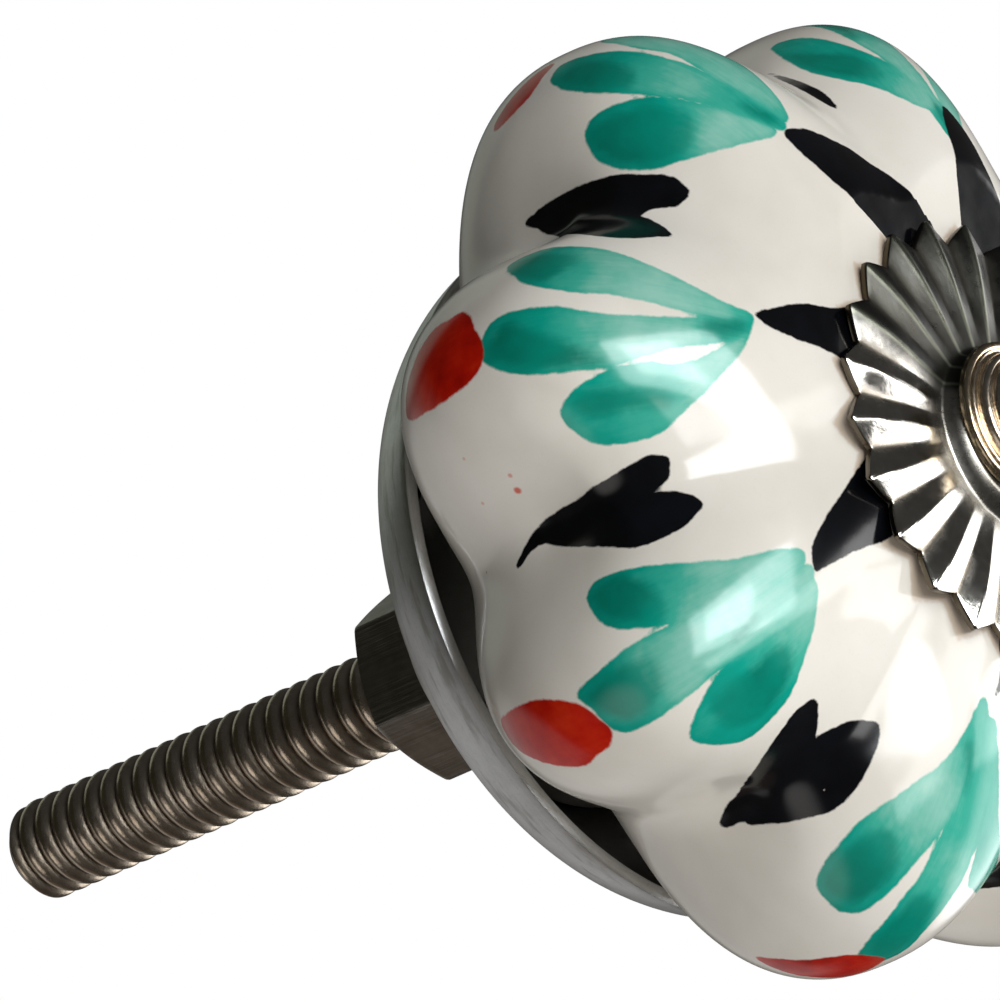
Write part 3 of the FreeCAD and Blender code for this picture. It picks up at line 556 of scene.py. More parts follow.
def rosette_mesh():
    cols = PLEATS * 16
    turned = np.arange(cols) / cols * 2 * math.pi + math.radians(ROSETTE_TURN)
    p = pleat(turned)
    # Ridges and valleys are a little rounded, as pressed sheet is.
    x = 1 - p
    soft = 0.08
    ridge = 1 - (np.sqrt(x * x + soft * soft) - soft)
    y = p
    low = np.sqrt(y * y + soft * soft) - soft
    w = p ** 2
    wave = w * ridge + (1 - w) * low
    edge_r = NOTCH_R + (TIP_R - NOTCH_R) * np.where(p > 0.93, 0.93 + (p - 0.93) * 0.55, p)
    radii = [4.25, 4.5, 4.8, 5.2, 5.6, 6.0, 6.5, 7.0]
    spots = []
    for k, up in ((HOLE_R, 1), (3.0, 1), (3.45, 1), (3.58, 0.985), (3.66, 0.93), (3.88, 0.5), (4.06, 0.1),
                  (4.13, 0.02)):
        spots.append((np.full(cols, k), np.full(cols, FLAT_T + HUB_RISE * up)))
    for k in radii:
        r_ = np.full(cols, k)
        rise = RIDGE * np.clip((r_ - INNER_R) / (TIP_R - INNER_R), 0, 1) * wave
        drop = MIDDLE_FALL * np.clip((r_ - INNER_R) / (7.0 - INNER_R), 0, 1)
        spots.append((r_, FLAT_T - drop + rise))
    for s in np.linspace(0.12, 1, 9):
        r_ = 7.0 + (edge_r - 7.0) * s
        at_mid = RIDGE * (7.0 - INNER_R) / (TIP_R - INNER_R)
        rise = (at_mid + (RIDGE * TIP_RIDGE - at_mid) * s) * wave
        hump = 0.10 * np.sin(np.pi * s) * wave
        drop = MIDDLE_FALL + (FALL - MIDDLE_FALL) * (r_ - 7.0) / (TIP_R - 7.0)
        spots.append((r_, FLAT_T - drop + rise + hump))
    layers = []
    lip = 0.07
    for r_, t_ in spots:
        layers.append((r_, t_ + SHEET))
    r_, t_ = spots[-1]
    layers[-1] = (r_ - lip, t_ + SHEET)
    layers.append((r_ - lip * 0.3, t_ + SHEET - lip * 0.3))
    layers.append((r_, t_ + SHEET - lip))
    layers.append((r_, t_ + lip))
    layers.append((r_ - lip, t_))
    for r_, t_ in spots[-2::-1]:
        layers.append((r_, t_))
    pts = np.concatenate([about_axis(a, b, turned, ROSETTE_RISE) for a, b in layers])
    quads, I, J = ring_polys(len(layers), cols, True)
    mean = [(float(np.mean(a)), float(np.mean(b))) for a, b in layers]
    uv = ring_uv(I, J, cols, path_length(mean + [mean[0]]))
    deep = np.concatenate([(1 - wave) * np.clip((a - INNER_R) / 3, 0, 1) for a, b in layers])
    out = np.concatenate([np.clip((a - INNER_R) / (TIP_R - INNER_R), -0.2, 1) + 0 * wave for a, b in layers])
    n_top = len(spots)
    edge = np.concatenate([np.full(cols, 1.0 if k >= n_top + 1 else 0.0) for k in range(len(layers))])
    # the rosette's upper side, which carries painted shade
    seen = np.degrees(np.broadcast_to(turned, (len(layers), cols)).ravel())
    away = np.abs((seen + 20 + 180) % 360 - 180)
    top = np.clip((68 - away) / 30, 0, 1)
    # the pleat crests, which carry painted highlight lines within that shade
    crests = np.concatenate([np.clip((wave - 0.80) / 0.18, 0, 1) for a, b in layers])
    return make_mesh("pleated_rosette", pts, [quads], uv,
                     {"deep": deep, "out": out, "under": edge, "top": top, "crest": crests}, sharp=62.0)


rosette = rosette_mesh()

# ------------------------------------------------------------- machine screw
CREST, PITCH, ROOT, LEAD = 2.32, 2.1, 1.96, 25.4 / 24


def screw_mesh():
    cols, per = 72, 20
    seat = 34.86
    head = [(0.0, seat + 1.95)]
    for a in np.linspace(0, 1, 15)[1:]:
        rr = 2.45 * math.sin(a * math.pi / 2)
        tt = seat + 1.05 + 0.9 * math.cos(a * math.pi / 2) ** 0.85 if a < 1 else seat + 1.05
        head.append((rr, tt))
    head += [(2.46, seat + 0.95), (2.5, seat + 0.93), (2.54, seat + 0.98), (2.6, seat + 1.04), (2.68, seat + 1.05),
             (2.77, seat + 1.02), (2.84, seat + 0.94), (2.88, seat + 0.82), (2.89, seat + 0.66), (2.91, seat + 0.45),
             (2.96, seat + 0.41), (3.08, seat + 0.41), (3.13, seat + 0.44), (3.2, seat + 0.49), (3.28, seat + 0.5),
             (3.37, seat + 0.49), (3.44, seat + 0.45), (3.48, seat + 0.38), (3.5, seat + 0.29), (3.5, seat + 0.07),
             (3.46, seat + 0.02), (3.4, seat), (2.2, seat), (PITCH, seat - 0.1), (PITCH, 28.0), (PITCH, 20.0),
             (PITCH, 12.0), (PITCH, 5.0), (PITCH, 0.6)]
    plain = [about_axis(r_, t_, np.arange(cols) / cols * 2 * math.pi) for r_, t_ in head[1:]]
    radii = [np.full(cols, r_) for r_, t_ in head[1:]]
    length = 24.6
    rows = int(length / LEAD * per)
    turned = np.arange(cols) / cols * 2 * math.pi
    thread, thread_r = [], []
    for k in range(rows + 1):
        y = length * k / rows
        phase = (y / LEAD + turned / (2 * math.pi)) % 1.0       # right-handed about +Y
        d = np.abs(phase - 0.5) * 2                              # 1 on the crest, 0 in the root
        f = np.sin(d * math.pi / 2) ** 0.75                      # rounded crests, narrow roots
        r_ = ROOT + (CREST - ROOT) * f
        start = np.clip((y - 0.0) / 0.25, 0, 1)
        r_ = np.minimum(r_, 2.1 + (CREST - 2.1) * start) if y < 0.25 else r_
        cap = CREST - max(0.0, y - (length - 0.62)) * 0.95
        r_ = np.minimum(r_, cap)
        thread.append(np.stack([-r_ * np.sin(turned), np.full(cols, y), r_ * np.cos(turned)], -1))
        thread_r.append(r_)
    end_r = [1.45, 0.7]
    for e in end_r:
        thread.append(np.stack([-e * np.sin(turned), np.full(cols, length), e * np.cos(turned)], -1))
        thread_r.append(np.full(cols, 1.9))
    rings = plain + thread
    allr = np.concatenate(radii + thread_r)
    pts = np.concatenate(rings)
    n = len(rings)
    quads, I, J = ring_polys(n, cols)
    mids = np.array([ring[0] for ring in rings])
    along_ = np.concatenate([[0], np.cumsum(np.linalg.norm(np.diff(mids, axis=0), axis=1))])
    uv = [ring_uv(I, J, cols, along_)]
    top, bottom = len(pts), len(pts) + 1
    pts = np.concatenate([pts, [[0, -(seat + 1.95), 0], [0, length, 0]]])
    j = np.arange(cols)
    first = np.stack([(j + 1) % cols, j, np.full(cols, top)], -1)
    base = (n - 1) * cols
    last = np.stack([base + j, base + (j + 1) % cols, np.full(cols, bottom)], -1)
    for flip, v in ((True, 0.0), (False, along_[-1])):
        u0, u1 = j / cols, (j + 1) / cols
        pair = [u1, u0] if flip else [u0, u1]
        uv.append(np.stack([np.stack([pair[0], np.full(cols, v)], -1), np.stack([pair[1], np.full(cols, v)], -1),
                            np.stack([(u0 + u1) / 2, np.full(cols, v)], -1)], 1).reshape(-1, 2))
    is_thread = pts[:, 1] > -0.3
    allr = np.concatenate([allr, [3.0, 1.9]])
    root = np.where(is_thread, np.clip((CREST - allr) / (CREST - ROOT), 0, 1), 0)
    ring = np.where(~is_thread & (allr > 3.0) & (pts[:, 1] < -34.8), 1.0, 0.0)
    return make_mesh("knob_machine_screw", pts, [quads, first, last], np.concatenate(uv),
                     {"root": root, "ring": ring}, sharp=42.0)


screw = screw_mesh()

# ------------------------------------------------------------- backplate cup
CUP_SIDE, CUP_CONE, CUP_RIM = 7.22, 13.35, 77.0
CUP_CENTRE = (CUP_CONE - CUP_SIDE * math.sin(math.radians(38)),
              4.0 + (CUP_CONE - 5.2) * math.tan(math.radians(38)) + CUP_SIDE * math.cos(math.radians(38)))


def side(radius, lean):
    a = math.radians(lean)
    return CUP_CENTRE[0] + radius * math.sin(a), CUP_CENTRE[1] - radius * math.cos(a)


def cup_outline():
    outer = [(2.75, 4.0), (2.9, 4.0), (5.0, 4.0), (5.2, 4.02), (5.45, 4.17)]
    a = side(CUP_SIDE, 38)
    for w in np.linspace(0.05, 1, 9):
        outer.append((5.2 + (a[0] - 5.2) * w, 4.0 + (a[1] - 4.0) * w))
    outer += [side(CUP_SIDE, x) for x in np.linspace(39, CUP_RIM - 1.6, 16)]
    # the rim: a slightly rounded edge
    outer += [side(7.20, CUP_RIM - 0.5), side(7.12, CUP_RIM - 0.08), side(6.92, CUP_RIM), side(6.72, CUP_RIM - 0.08),
              side(6.64, CUP_RIM - 0.5)]
    inner = [side(CUP_SIDE - 0.6, x) for x in np.linspace(CUP_RIM - 1.6, 38, 16)]
    b = inner[-1]
    for w in np.linspace(0.12, 0.95, 8):
        inner.append((b[0] + (4.993 - b[0]) * w, b[1] + (4.6 - b[1]) * w))
    inner += [(4.9, 4.6), (2.9, 4.6), (2.75, 4.55), (2.75, 4.05)]
    return outer + inner


cup = lathe("turned_backplate_cup", cup_outline(), 320, sharp=40.0, shift=(CUP_SHIFT[0], 0.0, CUP_SHIFT[1]))
rows_out = np.repeat(np.arange(len(cup_outline())), 320)
first_in = 5 + 9 + 16 + 5
a = cup.data.attributes.new("inside", "FLOAT", "POINT")
a.data.foreach_set("value", ((rows_out >= first_in + 1)).astype(np.float32))
a = cup.data.attributes.new("lip", "FLOAT", "POINT")
a.data.foreach_set("value", ((rows_out >= first_in - 5) & (rows_out <= first_in)).astype(np.float32))

# ------------------------------------------------------------------- hex nut
HALF, THICK = 8.13 / 2, 4.0


def nut_mesh():
    per = 36
    cols = 6 * per
    # columns are close together at the corners
    w = np.linspace(-1, 1, per + 1)[:-1]
    w = np.sign(w) * np.abs(w) ** 0.55
    turned = []
    for k in range(6):
        turned += [math.radians(60 * k + 30 * a) for a in w]
    turned = np.array(turned)
    local = (np.degrees(turned) + 30) % 60 - 30
    reach = HALF / np.cos(np.radians(local))
    corner = HALF / math.cos(math.radians(30))
    reach = np.minimum(reach, corner - 0.06)
    slope = 0.405
    drop = np.maximum(0, (reach - HALF * 0.985) * slope)
    rows = [(np.full(cols, 2.1), 0.5), (np.full(cols, 2.35), 0.25), (np.full(cols, 2.56), 0.04),
            (np.full(cols, 2.64), 0.0), (np.full(cols, 3.4), 0.0), (np.full(cols, HALF * 0.97), 0.0),
            (np.full(cols, HALF * 0.985), 0.012)]
    out = []
    for r_, t_ in rows:
        out.append((r_, np.full(cols, float(t_))))
    for w_ in (0.35, 0.7, 0.94):
        r_ = HALF * 0.985 + (reach - HALF * 0.985) * w_
        out.append((r_, np.maximum(0.012, (r_ - HALF * 0.985) * slope)))
    low, high = np.maximum(drop, 0.02), THICK - np.maximum(drop, 0.02)
    for w_ in (0.02, 0.06, 0.2, 0.4, 0.6, 0.8, 0.94, 0.98):
        out.append((reach + 0 * w_, low + (high - low) * w_))
    for w_ in (0.94, 0.7, 0.35):
        r_ = HALF * 0.985 + (reach - HALF * 0.985) * w_
        out.append((r_, THICK - np.maximum(0.012, (r_ - HALF * 0.985) * slope)))
    for r_, t_ in ((HALF * 0.985, THICK - 0.012), (HALF * 0.97, THICK), (3.4, THICK), (2.3, THICK), (2.1, THICK - 0.1),
                   (2.1, 2.0)):
        out.append((np.full(cols, r_), np.full(cols, float(t_))))
    pts = np.concatenate([about_axis(a, b, turned) for a, b in out])
    quads, I, J = ring_polys(len(out), cols, True)
    mean = [(float(np.mean(a)), float(np.mean(b))) for a, b in out]
    uv = ring_uv(I, J, cols, path_length(mean + [mean[0]]))
    return make_mesh("bevelled_hex_nut", pts, [quads], uv, sharp=24.0)


nut = nut_mesh()

# ---------------------------------------------------------------- materials


class Tree:
    """Short names for building a node tree."""

    def __init__(self, tree):
        self.t = tree
        self.t.nodes.clear()

    def put(self, kind, **sets):
        n = self.t.nodes.new(kind)
        for k, v in sets.items():
            setattr(n, k, v)
        return n

    def feed(self, socket, value):
        if isinstance(value, bpy.types.NodeSocket):
            self.t.links.new(value, socket)
        else:
            socket.default_value = value

    def math(self, op, a, b=0.0, clamp=False):
        n = self.put("ShaderNodeMath", operation=op, use_clamp=clamp)
        self.feed(n.inputs[0], a)
        self.feed(n.inputs[1], b)
        return n.outputs[0]

    def add(self, *terms):
        s = terms[0]
        for x in terms[1:]:
            s = self.math("ADD", s, x)
        return s

    def mul(self, a, b):
        return self.math("MULTIPLY", a, b)

    def step(self, x, lo, hi, smooth=True):
        n = self.put("ShaderNodeMapRange", interpolation_type="SMOOTHSTEP" if smooth else "LINEAR", clamp=True)
        self.feed(n.inputs["Value"], x)
        n.inputs["From Min"].default_value = lo
        n.inputs["From Max"].default_value = hi
        return n.outputs["Result"]

    def mix(self, fac, a, b, blend="MIX"):
        n = self.put("ShaderNodeMix", data_type="RGBA", blend_type=blend, clamp_factor=True)
        self.feed(n.inputs[0], fac)
        self.feed(n.inputs[6], a if isinstance(a, bpy.types.NodeSocket) else (*a, 1.0))
        self.feed(n.inputs[7], b if isinstance(b, bpy.types.NodeSocket) else (*b, 1.0))
        return n.outputs[2]

    def ramp(self, fac, stops, interpolation="LINEAR"):
        n = self.put("ShaderNodeValToRGB")
        n.color_ramp.interpolation = interpolation
        els = n.color_ramp.elements
        while len(els) < len(stops):
            els.new(0.5)
        for e, (p, c) in zip(els, stops):
            e.position = p
            e.color = (*c, 1.0)
        self.feed(n.inputs[0], fac)
        return n.outputs[0]

    def attr(self, name):
        return self.put("ShaderNodeAttribute", attribute_name=name).outputs["Fac"]

    def mm(self, x=1.0, y=1.0, z=1.0):
        """Object coordinates in mm, stretched per axis."""
        c = self.put("ShaderNodeTexCoord").outputs["Object"]
        m = self.put("ShaderNodeMapping")
        m.inputs["Scale"].default_value = (1000 * x, 1000 * y, 1000 * z)
        self.feed(m.inputs["Vector"], c)
        return m.outputs[0]

    def uv(self, x, y):
        """The turn and the length along the outline, stretched."""
        c = self.put("ShaderNodeUVMap", uv_map="UVMap").outputs[0]
        m = self.put("ShaderNodeMapping")
        m.inputs["Scale"].default_value = (x, y, 1)
        self.feed(m.inputs["Vector"], c)
        return m.outputs[0]

    def noise(self, vec, scale, detail=2.0, rough=0.5, distort=0.0):
        n = self.put("ShaderNodeTexNoise")
        self.feed(n.inputs["Vector"], vec)
        n.inputs["Scale"].default_value = scale
        n.inputs["Detail"].default_value = detail
        n.inputs["Roughness"].default_value = rough
        n.inputs["Distortion"].default_value = distort
        return n.outputs["Fac"]

    def dots(self, vec, scale, radius, keep):
        """Round dots: Voronoi cells, of which a share carry one."""
        v = self.put("ShaderNodeTexVoronoi")
        self.feed(v.inputs["Vector"], vec)
        v.inputs["Scale"].default_value = scale
        near = self.math("LESS_THAN", v.outputs["Distance"], radius)
        sep = self.put("ShaderNodeSeparateColor")
        self.feed(sep.inputs[0], v.outputs["Color"])
        return self.mul(near, self.math("LESS_THAN", sep.outputs[0], keep))

    def bump(self, height, strength, distance=0.001, normal=None):
        b = self.put("ShaderNodeBump")
        b.inputs["Strength"].default_value = strength
        b.inputs["Distance"].default_value = distance
        self.feed(b.inputs["Height"], height)
        if normal is not None:
            self.feed(b.inputs["Normal"], normal)
        return b.outputs[0]

    def surface(self, color, rough, normal=None, **constants):
        p = self.put("ShaderNodeBsdfPrincipled")
        self.feed(p.inputs["Base Color"], color)
        self.feed(p.inputs["Roughness"], rough)
        if normal is not None:
            self.feed(p.inputs["Normal"], normal)
        for k, v in constants.items():
            p.inputs[k.replace("_", " ")].default_value = v
        o = self.put("ShaderNodeOutputMaterial")
        self.t.links.new(p.outputs[0], o.inputs["Surface"])
        return p


def material(name):
    m = bpy.data.materials.new(name)
    m.use_nodes = True
    return m, Tree(m.node_tree)


def glaze():
    m, t = material("painted_glaze")
    co = t.mm()
    fine = t.math("SUBTRACT", t.noise(co, 2.6, 3.0, 0.55), 0.5)
    broad = t.math("SUBTRACT", t.noise(co, 0.75, 2.0), 0.5)
    edge = t.add(t.mul(fine, 0.16), t.mul(broad, 0.14))
    hairs = t.math("SUBTRACT", t.noise(t.uv(138 * 3.2, 0.42), 1.0, 3.0, 0.6), 0.5)
    wash = t.math("SUBTRACT", t.noise(co, 0.45, 3.0, 0.6), 0.5)

    # glaze: warm off-white, faintly clouded, with a few pinholes and specks
    cloud = t.noise(co, 0.16, 3.0, 0.55)
    white = t.ramp(cloud, [(0.3, (0.70, 0.67, 0.61)), (0.55, (0.765, 0.74, 0.685)), (0.75, (0.80, 0.78, 0.735))])
    grain = t.noise(co, 5.5, 2.0)
    white = t.mix(t.mul(t.step(grain, 0.55, 0.8), 0.10), white, (0.60, 0.56, 0.49))
    specks = t.dots(co, 0.30, 0.020, 0.35)
    drops = t.dots(t.mm(1.0, 1.0, 1.1), 0.115, 0.013, 0.30)
    white = t.mix(t.mul(drops, 0.8), white, (0.50, 0.06, 0.02))
    white = t.mix(t.mul(specks, 0.8), white, (0.20, 0.15, 0.10))
    for up, turned, radius in ((-6.2, 61.5, 0.19), (-4.3, 59.8, 0.12), (-20.2, 61.0, 0.10), (-13.2, 56.2, 0.09)):
        away = t.put("ShaderNodeVectorMath", operation="DISTANCE")
        t.feed(away.inputs[0], co)
        away.inputs[1].default_value = [float(v) for v in on_skin(np.radians(up), np.radians(turned))]
        near = t.step(t.add(away.outputs["Value"], t.mul(fine, 0.1)), radius * 0.45, radius * 1.25)
        white = t.mix(t.mul(t.math("SUBTRACT", 1.0, near), radius * 4.5), white, (0.62, 0.075, 0.03))
    # painted contact shadow: a brown band round the rosette's edge
    rosette_contact_shadow = t.attr("rosette_contact_shadow")
    white = t.mix(t.mul(t.step(t.add(rosette_contact_shadow, t.mul(fine, 0.5)), 0.25, 0.85), 0.6), white, (0.50, 0.37, 0.25))

    # teal petals: a pale wash with denser ends, darker where colour pooled
    d = t.attr("teal_d")
    n = t.attr("teal_n")
    cover = t.step(t.add(d, edge), -0.05, 0.09)
    rim = t.math("SUBTRACT", 1.0, t.step(t.add(d, edge), 0.04, 0.40))
    amount = t.add(t.mul(n, 0.78), t.mul(hairs, 0.13), t.mul(wash, 0.36), t.mul(rim, 0.06), 0.04)
    teal = t.ramp(amount, [(0.0, (0.50, 0.66, 0.60)), (0.33, (0.25, 0.55, 0.46)), (0.55, (0.050, 0.405, 0.31)),
                           (0.76, (0.002, 0.325, 0.25)), (1.0, (0.0, 0.22, 0.165))])
    color = t.mix(cover, white, teal)
    cd = t.add(t.attr("core_d"), t.mul(edge, 1.3), t.mul(hairs, 0.22), t.mul(wash, 0.5))
    core = t.mul(t.step(cd, -0.28, 0.42), t.attr("core_n"))
    color = t.mix(t.mul(core, 0.9), color, t.mix(t.step(wash, -0.2, 0.3), (0.0, 0.165, 0.118), (0.0, 0.235, 0.17)))

    # red buds
    rd = t.add(t.attr("red_d"), edge)
    red = t.ramp(t.add(t.mul(wash, 0.9), 0.5, t.mul(hairs, 0.2)),
                 [(0.2, (0.22, 0.0, 0.0)), (0.5, (0.47, 0.008, 0.001)), (0.85, (0.64, 0.035, 0.007))])
    color = t.mix(t.mul(t.step(rd, -0.05, 0.09), t.attr("red_n")), color, red)

    # black leaves and stems, thin enough at a hair's edge to show the glaze
    bd = t.add(t.attr("black_d"), t.mul(edge, 0.9))
    ink = t.mix(t.step(wash, -0.2, 0.25), (0.0012, 0.0014, 0.0022), (0.0030, 0.0036, 0.0055))
    scratch = t.dots(t.mm(1.0, 0.6, 1.0), 0.42, 0.035, 0.35)
    black = t.mul(t.step(bd, -0.04, 0.065), t.attr("black_n"))
    black = t.mul(black, t.math("SUBTRACT", 1.0, t.mul(specks, 0.75)))
    color = t.mix(black, color, ink)

    paint_ = t.math("MAXIMUM", t.math("MAXIMUM", cover, black), t.step(rd, -0.03, 0.06))
    rough = t.add(0.085, t.mul(t.noise(co, 0.6, 3.0), 0.05), t.mul(paint_, 0.02), t.mul(specks, 0.2))
    wave = t.noise(co, 0.23, 2.0, 0.5)
    pores = t.noise(co, 1.9, 3.0, 0.6)
    normal = t.bump(t.mul(wave, 1.0), 0.10, 0.0006)
    normal = t.bump(t.add(t.mul(pores, 0.5), t.mul(paint_, 0.25), t.mul(specks, -1.0)), 0.06, 0.00005, normal)
    t.surface(color, rough, normal, IOR=1.5)
    return m


def rosette_plate():
    m, t = material("rosette_nickel")
    co = t.mm()
    deep, out = t.attr("deep"), t.attr("out")
    tone = t.noise(co, 0.9, 4.0, 0.6)
    color = t.ramp(tone, [(0.3, (0.50, 0.475, 0.42)), (0.6, (0.62, 0.60, 0.56)), (0.8, (0.68, 0.66, 0.62))])
    # darker in the valleys between the pleats, more so towards the rim
    valley_darkening = t.mul(t.step(t.add(deep, t.mul(t.math("SUBTRACT", tone, 0.5), 0.9)), 0.55, 1.1), 0.75)
    color = t.mix(valley_darkening, color, (0.16, 0.125, 0.08))
    hub = t.math("SUBTRACT", 1.0, t.step(out, 0.02, 0.30))
    color = t.mix(t.mul(hub, 0.7), color, (0.14, 0.125, 0.10))
    # painted shade: the rosette's upper side darkened almost to black, with painted pale highlight lines along the
    # pleat crests
    upper_side_shade = t.step(t.add(t.attr("top"), t.mul(t.math("SUBTRACT", tone, 0.5), 0.3)), 0.35, 0.75)
    color = t.mix(t.mul(upper_side_shade, 0.94), color, t.mix(t.attr("crest"), (0.011, 0.0105, 0.0075), (0.13, 0.135, 0.10)))
    color = t.mix(t.mul(t.attr("under"), 0.9), color, (0.09, 0.07, 0.045))
    lines = t.noise(t.uv(180.0, 2.6), 1.0, 3.0, 0.65)
    rough = t.add(0.07, t.mul(t.noise(co, 2.2, 3.0), 0.12), t.mul(valley_darkening, 0.25), t.mul(hub, 0.15), t.mul(upper_side_shade, 0.16))
    normal = t.bump(lines, 0.16, 0.00004)
    normal = t.bump(t.noise(co, 1.1, 2.0), 0.06, 0.0002, normal)
    t.surface(color, rough, normal, Metallic=1.0)
    return m


def screw_plate():
    m, t = material("screw_nickel")
    co = t.mm()
    root, ring = t.attr("root"), t.attr("ring")
    tone = t.noise(co, 1.2, 4.0, 0.6)
    color = t.ramp(tone, [(0.3, (0.44, 0.36, 0.27)), (0.7, (0.62, 0.53, 0.43))])
    color = t.mix(t.mul(t.step(t.add(root, t.mul(t.math("SUBTRACT", tone, 0.5), 0.5)), 0.35, 1.0), 0.85), color,
                  (0.10, 0.068, 0.045))
    color = t.mix(t.mul(ring, 0.5), color, (0.62, 0.47, 0.28))
    rough = t.add(0.16, t.mul(t.noise(co, 3.0, 3.0), 0.16), t.mul(root, 0.25), t.mul(ring, -0.05))
    normal = t.bump(t.noise(t.uv(60.0, 6.0), 1.0, 3.0, 0.6), 0.22, 0.00006)
    normal = t.bump(t.noise(co, 1.6, 3.0), 0.15, 0.00012, normal)
    t.surface(color, rough, normal, Metallic=1.0)
    return m


def cup_plate():
    m, t = material("cup_nickel")
    co = t.mm()
    tone = t.noise(co, 0.55, 4.0, 0.6)
    color = t.ramp(tone, [(0.3, (0.64, 0.64, 0.63)), (0.7, (0.78, 0.785, 0.79))])
    turned = t.noise(t.uv(3.0, 9.0), 1.0, 4.0, 0.7)
    streaks = t.noise(t.uv(26.0, 1.1), 1.0, 3.0, 0.62)
    grit = t.noise(co, 6.5, 3.0, 0.7)
    color = t.mix(t.mul(t.step(grit, 0.56, 0.78), 0.35), color, (0.30, 0.27, 0.22))
    color = t.mix(t.mul(t.step(turned, 0.5, 0.8), 0.25), color, (0.36, 0.34, 0.31))
    color = t.mix(t.mul(t.step(streaks, 0.50, 0.68), 0.5), color, (0.25, 0.235, 0.19))
    # painted shade: the inside of the cup darkened almost to black
    color = t.mix(t.mul(t.attr("inside"), 0.93), color, (0.035, 0.028, 0.022))
    rough = t.add(0.22, t.mul(turned, 0.14), t.mul(grit, 0.10), t.mul(streaks, 0.1), t.mul(t.attr("inside"), 0.2))
    normal = t.bump(turned, 0.20, 0.00006)
    normal = t.bump(grit, 0.20, 0.00004, normal)
    t.surface(color, rough, normal, Metallic=1.0, Anisotropic=0.45)
    return m


def nut_plate():
    m, t = material("nut_nickel")
    co = t.mm()
    tone = t.noise(co, 0.8, 4.0, 0.6)
    color = t.ramp(tone, [(0.3, (0.27, 0.245, 0.21)), (0.7, (0.40, 0.375, 0.34))])
    ribs = t.noise(t.uv(150.0, 0.25), 1.0, 2.0, 0.5)
    color = t.mix(t.mul(t.step(ribs, 0.52, 0.72), 0.45), color, (0.22, 0.19, 0.15))
    grit = t.noise(co, 4.0, 4.0, 0.7)
    rough = t.add(0.24, t.mul(grit, 0.16), t.mul(ribs, 0.06))
    normal = t.bump(ribs, 0.45, 0.00012)
    normal = t.bump(grit, 0.15, 0.00004, normal)
    t.surface(color, rough, normal, Metallic=1.0)
    return m


def dress(ob, mat, node):
    ob.data.materials.append(mat)
    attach(ob, "root")
    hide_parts(node)


dress(ceramic, glaze(), "ceramic_body")
dress(rosette, rosette_plate(), "front_rosette")
dress(screw, screw_plate(), "knob_screw")
dress(cup, cup_plate(), "backplate_cup")
dress(nut, nut_plate(), "hex_nut")

# ------------------------------------------------------------------- camera
RIGHT = Vector((0.45395, -0.72673, -0.51554))
UP = Vector((0.42598, -0.33119, 0.84193))
BACK = Vector((-0.78260, -0.60182, 0.15922))
camera_data = bpy.data.cameras.new("Camera")
camera_data.sensor_fit = "HORIZONTAL"
camera_data.sensor_width = 36.0
camera_data.lens = 360.0
camera_data.clip_start = 0.01
camera_data.clip_end = 50.0
camera = bpy.data.objects.new("Camera", camera_data)
scene.collection.objects.link(camera)
camera.matrix_world = Matrix(((RIGHT.x, UP.x, BACK.x, -0.34455), (RIGHT.y, UP.y, BACK.y, -0.27415),
                              (RIGHT.z, UP.z, BACK.z, 0.07622), (0, 0, 0, 1)))
scene.camera = camera

# ------------------------------------------------------------ floor and light
FLOOR_Z = -0.32
floor_data = bpy.data.meshes.new("studio_floor")
half = 14.0
floor_data.from_pydata([(-half, -half, FLOOR_Z), (half, -half, FLOOR_Z), (half, half, FLOOR_Z), (-half, half, FLOOR_Z)],
                       [], [(0, 1, 2, 3)])
floor = bpy.data.objects.new("studio_floor", floor_data)
scene.collection.objects.link(floor)
fm, ft = material("pale_floor")
e = ft.put("ShaderNodeEmission")
e.inputs["Color"].default_value = (1.0, 1.0, 1.0, 1.0)
e.inputs["Strength"].default_value = 1.0
o = ft.put("ShaderNodeOutputMaterial")
ft.t.links.new(e.outputs[0], o.inputs["Surface"])
floor_data.materials.append(fm)
floor.visible_diffuse = False
floor.visible_glossy = False
floor.visible_shadow = False

MIDDLE = Vector((0.0, -0.0235, 0.0))


def way(az, el):
    """A direction by its turn and height in the camera's own frame."""
    a, b = math.radians(az), math.radians(el)
    return RIGHT * (math.cos(b) * math.sin(a)) + UP * math.sin(b) + BACK * (math.cos(b) * math.cos(a))


def softbox(name, az, el, wide, high, radiance, tint=(1, 1, 1), distance=0.6, roll=0.0, gloss=True, diffuse=True):
    """A rectangle of light that spans wide x high degrees as the knob sees it."""
    data = bpy.data.lights.new(name, "AREA")
    data.shape = "RECTANGLE"
    data.size = 2 * distance * math.tan(math.radians(wide / 2))
    data.size_y = 2 * distance * math.tan(math.radians(high / 2))
    data.energy = radiance * 4 * data.size * data.size_y
    data.color = tint
    ob = bpy.data.objects.new(name, data)
    z = way(az, el)
    x = UP.cross(z).normalized()
    y = z.cross(x)
    c, s = math.cos(math.radians(roll)), math.sin(math.radians(roll))
    x, y = x * c + y * s, y * c - x * s
    p = MIDDLE + z * distance
    ob.matrix_world = Matrix(((x.x, y.x, z.x, p.x), (x.y, y.y, z.y, p.y), (x.z, y.z, z.z, p.z), (0, 0, 0, 1)))
    ob.visible_camera = False
    ob.visible_glossy = gloss
    ob.visible_diffuse = diffuse
    scene.collection.objects.link(ob)
    return ob


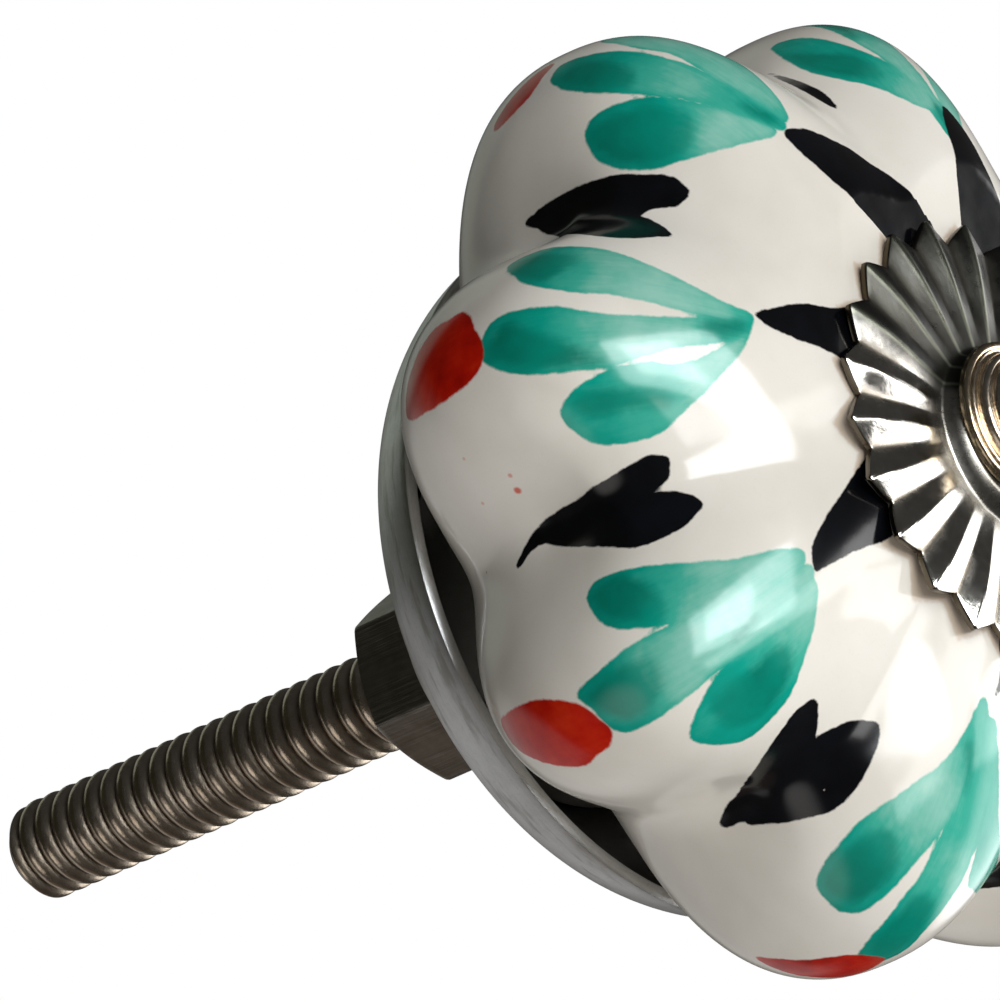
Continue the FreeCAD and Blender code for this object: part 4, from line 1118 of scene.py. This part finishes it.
softbox("main_softbox", 40, 18, 50, 30, 6.5, (0.93, 0.97, 1.0), roll=12, diffuse=False)
softbox("main_core", 36, 18, 24, 18, 6.0, (0.95, 0.98, 1.0), distance=0.59, roll=12, diffuse=False)
softbox("strip", 60, 5, 70, 11, 3.2, (1.0, 1.0, 1.0), roll=26, diffuse=False)
softbox("right_strip", 104, 5, 40, 14, 3.2, (1.0, 1.0, 1.0), distance=0.62, diffuse=False)
softbox("main_fill", 42, 30, 60, 52, 2.6, (1.0, 0.99, 0.97), distance=0.7, gloss=False)
softbox("low_fill", 18, -48, 74, 50, 1.25, (1.0, 0.98, 0.95), distance=0.7, gloss=False)

world = bpy.data.worlds.new("studio")
scene.world = world
world.use_nodes = True
wt = Tree(world.node_tree)
look = wt.put("ShaderNodeTexCoord").outputs["Generated"]


def glow(direction, inner, outer):
    """1 within inner degrees of a world direction, fading to 0 at outer."""
    d = Vector(direction).normalized()
    n = wt.put("ShaderNodeVectorMath", operation="DOT_PRODUCT")
    wt.feed(n.inputs[0], look)
    n.inputs[1].default_value = d
    return wt.step(n.outputs["Value"], math.cos(math.radians(outer)), math.cos(math.radians(inner)))


sky = wt.mix(glow((0, 0, 1), 20, 110), (0.055, 0.052, 0.048), (0.045, 0.046, 0.047))
# dark side above and behind, on the left
sky = wt.mix(glow((-0.35, 0.70, 0.72), 30, 48), sky, (0.025, 0.025, 0.018))
# grey rear wall
sky = wt.mix(glow((0.0, 0.93, -0.36), 25, 35), sky, (0.40, 0.395, 0.39))
sky = wt.mix(glow((0.55, 0.75, 0.40), 14, 24), sky, (0.30, 0.33, 0.285))
# brown floor side behind
sky = wt.mix(glow((-0.25, 0.60, -0.80), 10, 22), sky, (0.13, 0.10, 0.08))
# bright backdrop to the right, behind
sky = wt.mix(glow((0.74, -0.20, -0.62), 22, 36), sky, (3.2, 3.2, 3.2))
# small warm lamp low on the left
sky = wt.mix(glow((-0.96, 0.20, -0.16), 3, 24), sky, (1.1, 1.05, 1.0))
bg = wt.put("ShaderNodeBackground")
wt.feed(bg.inputs["Color"], sky)
wo = wt.put("ShaderNodeOutputWorld")
wt.t.links.new(bg.outputs[0], wo.inputs["Surface"])
scene.view_settings.view_transform = "Standard"
scene.view_settings.look = "None"
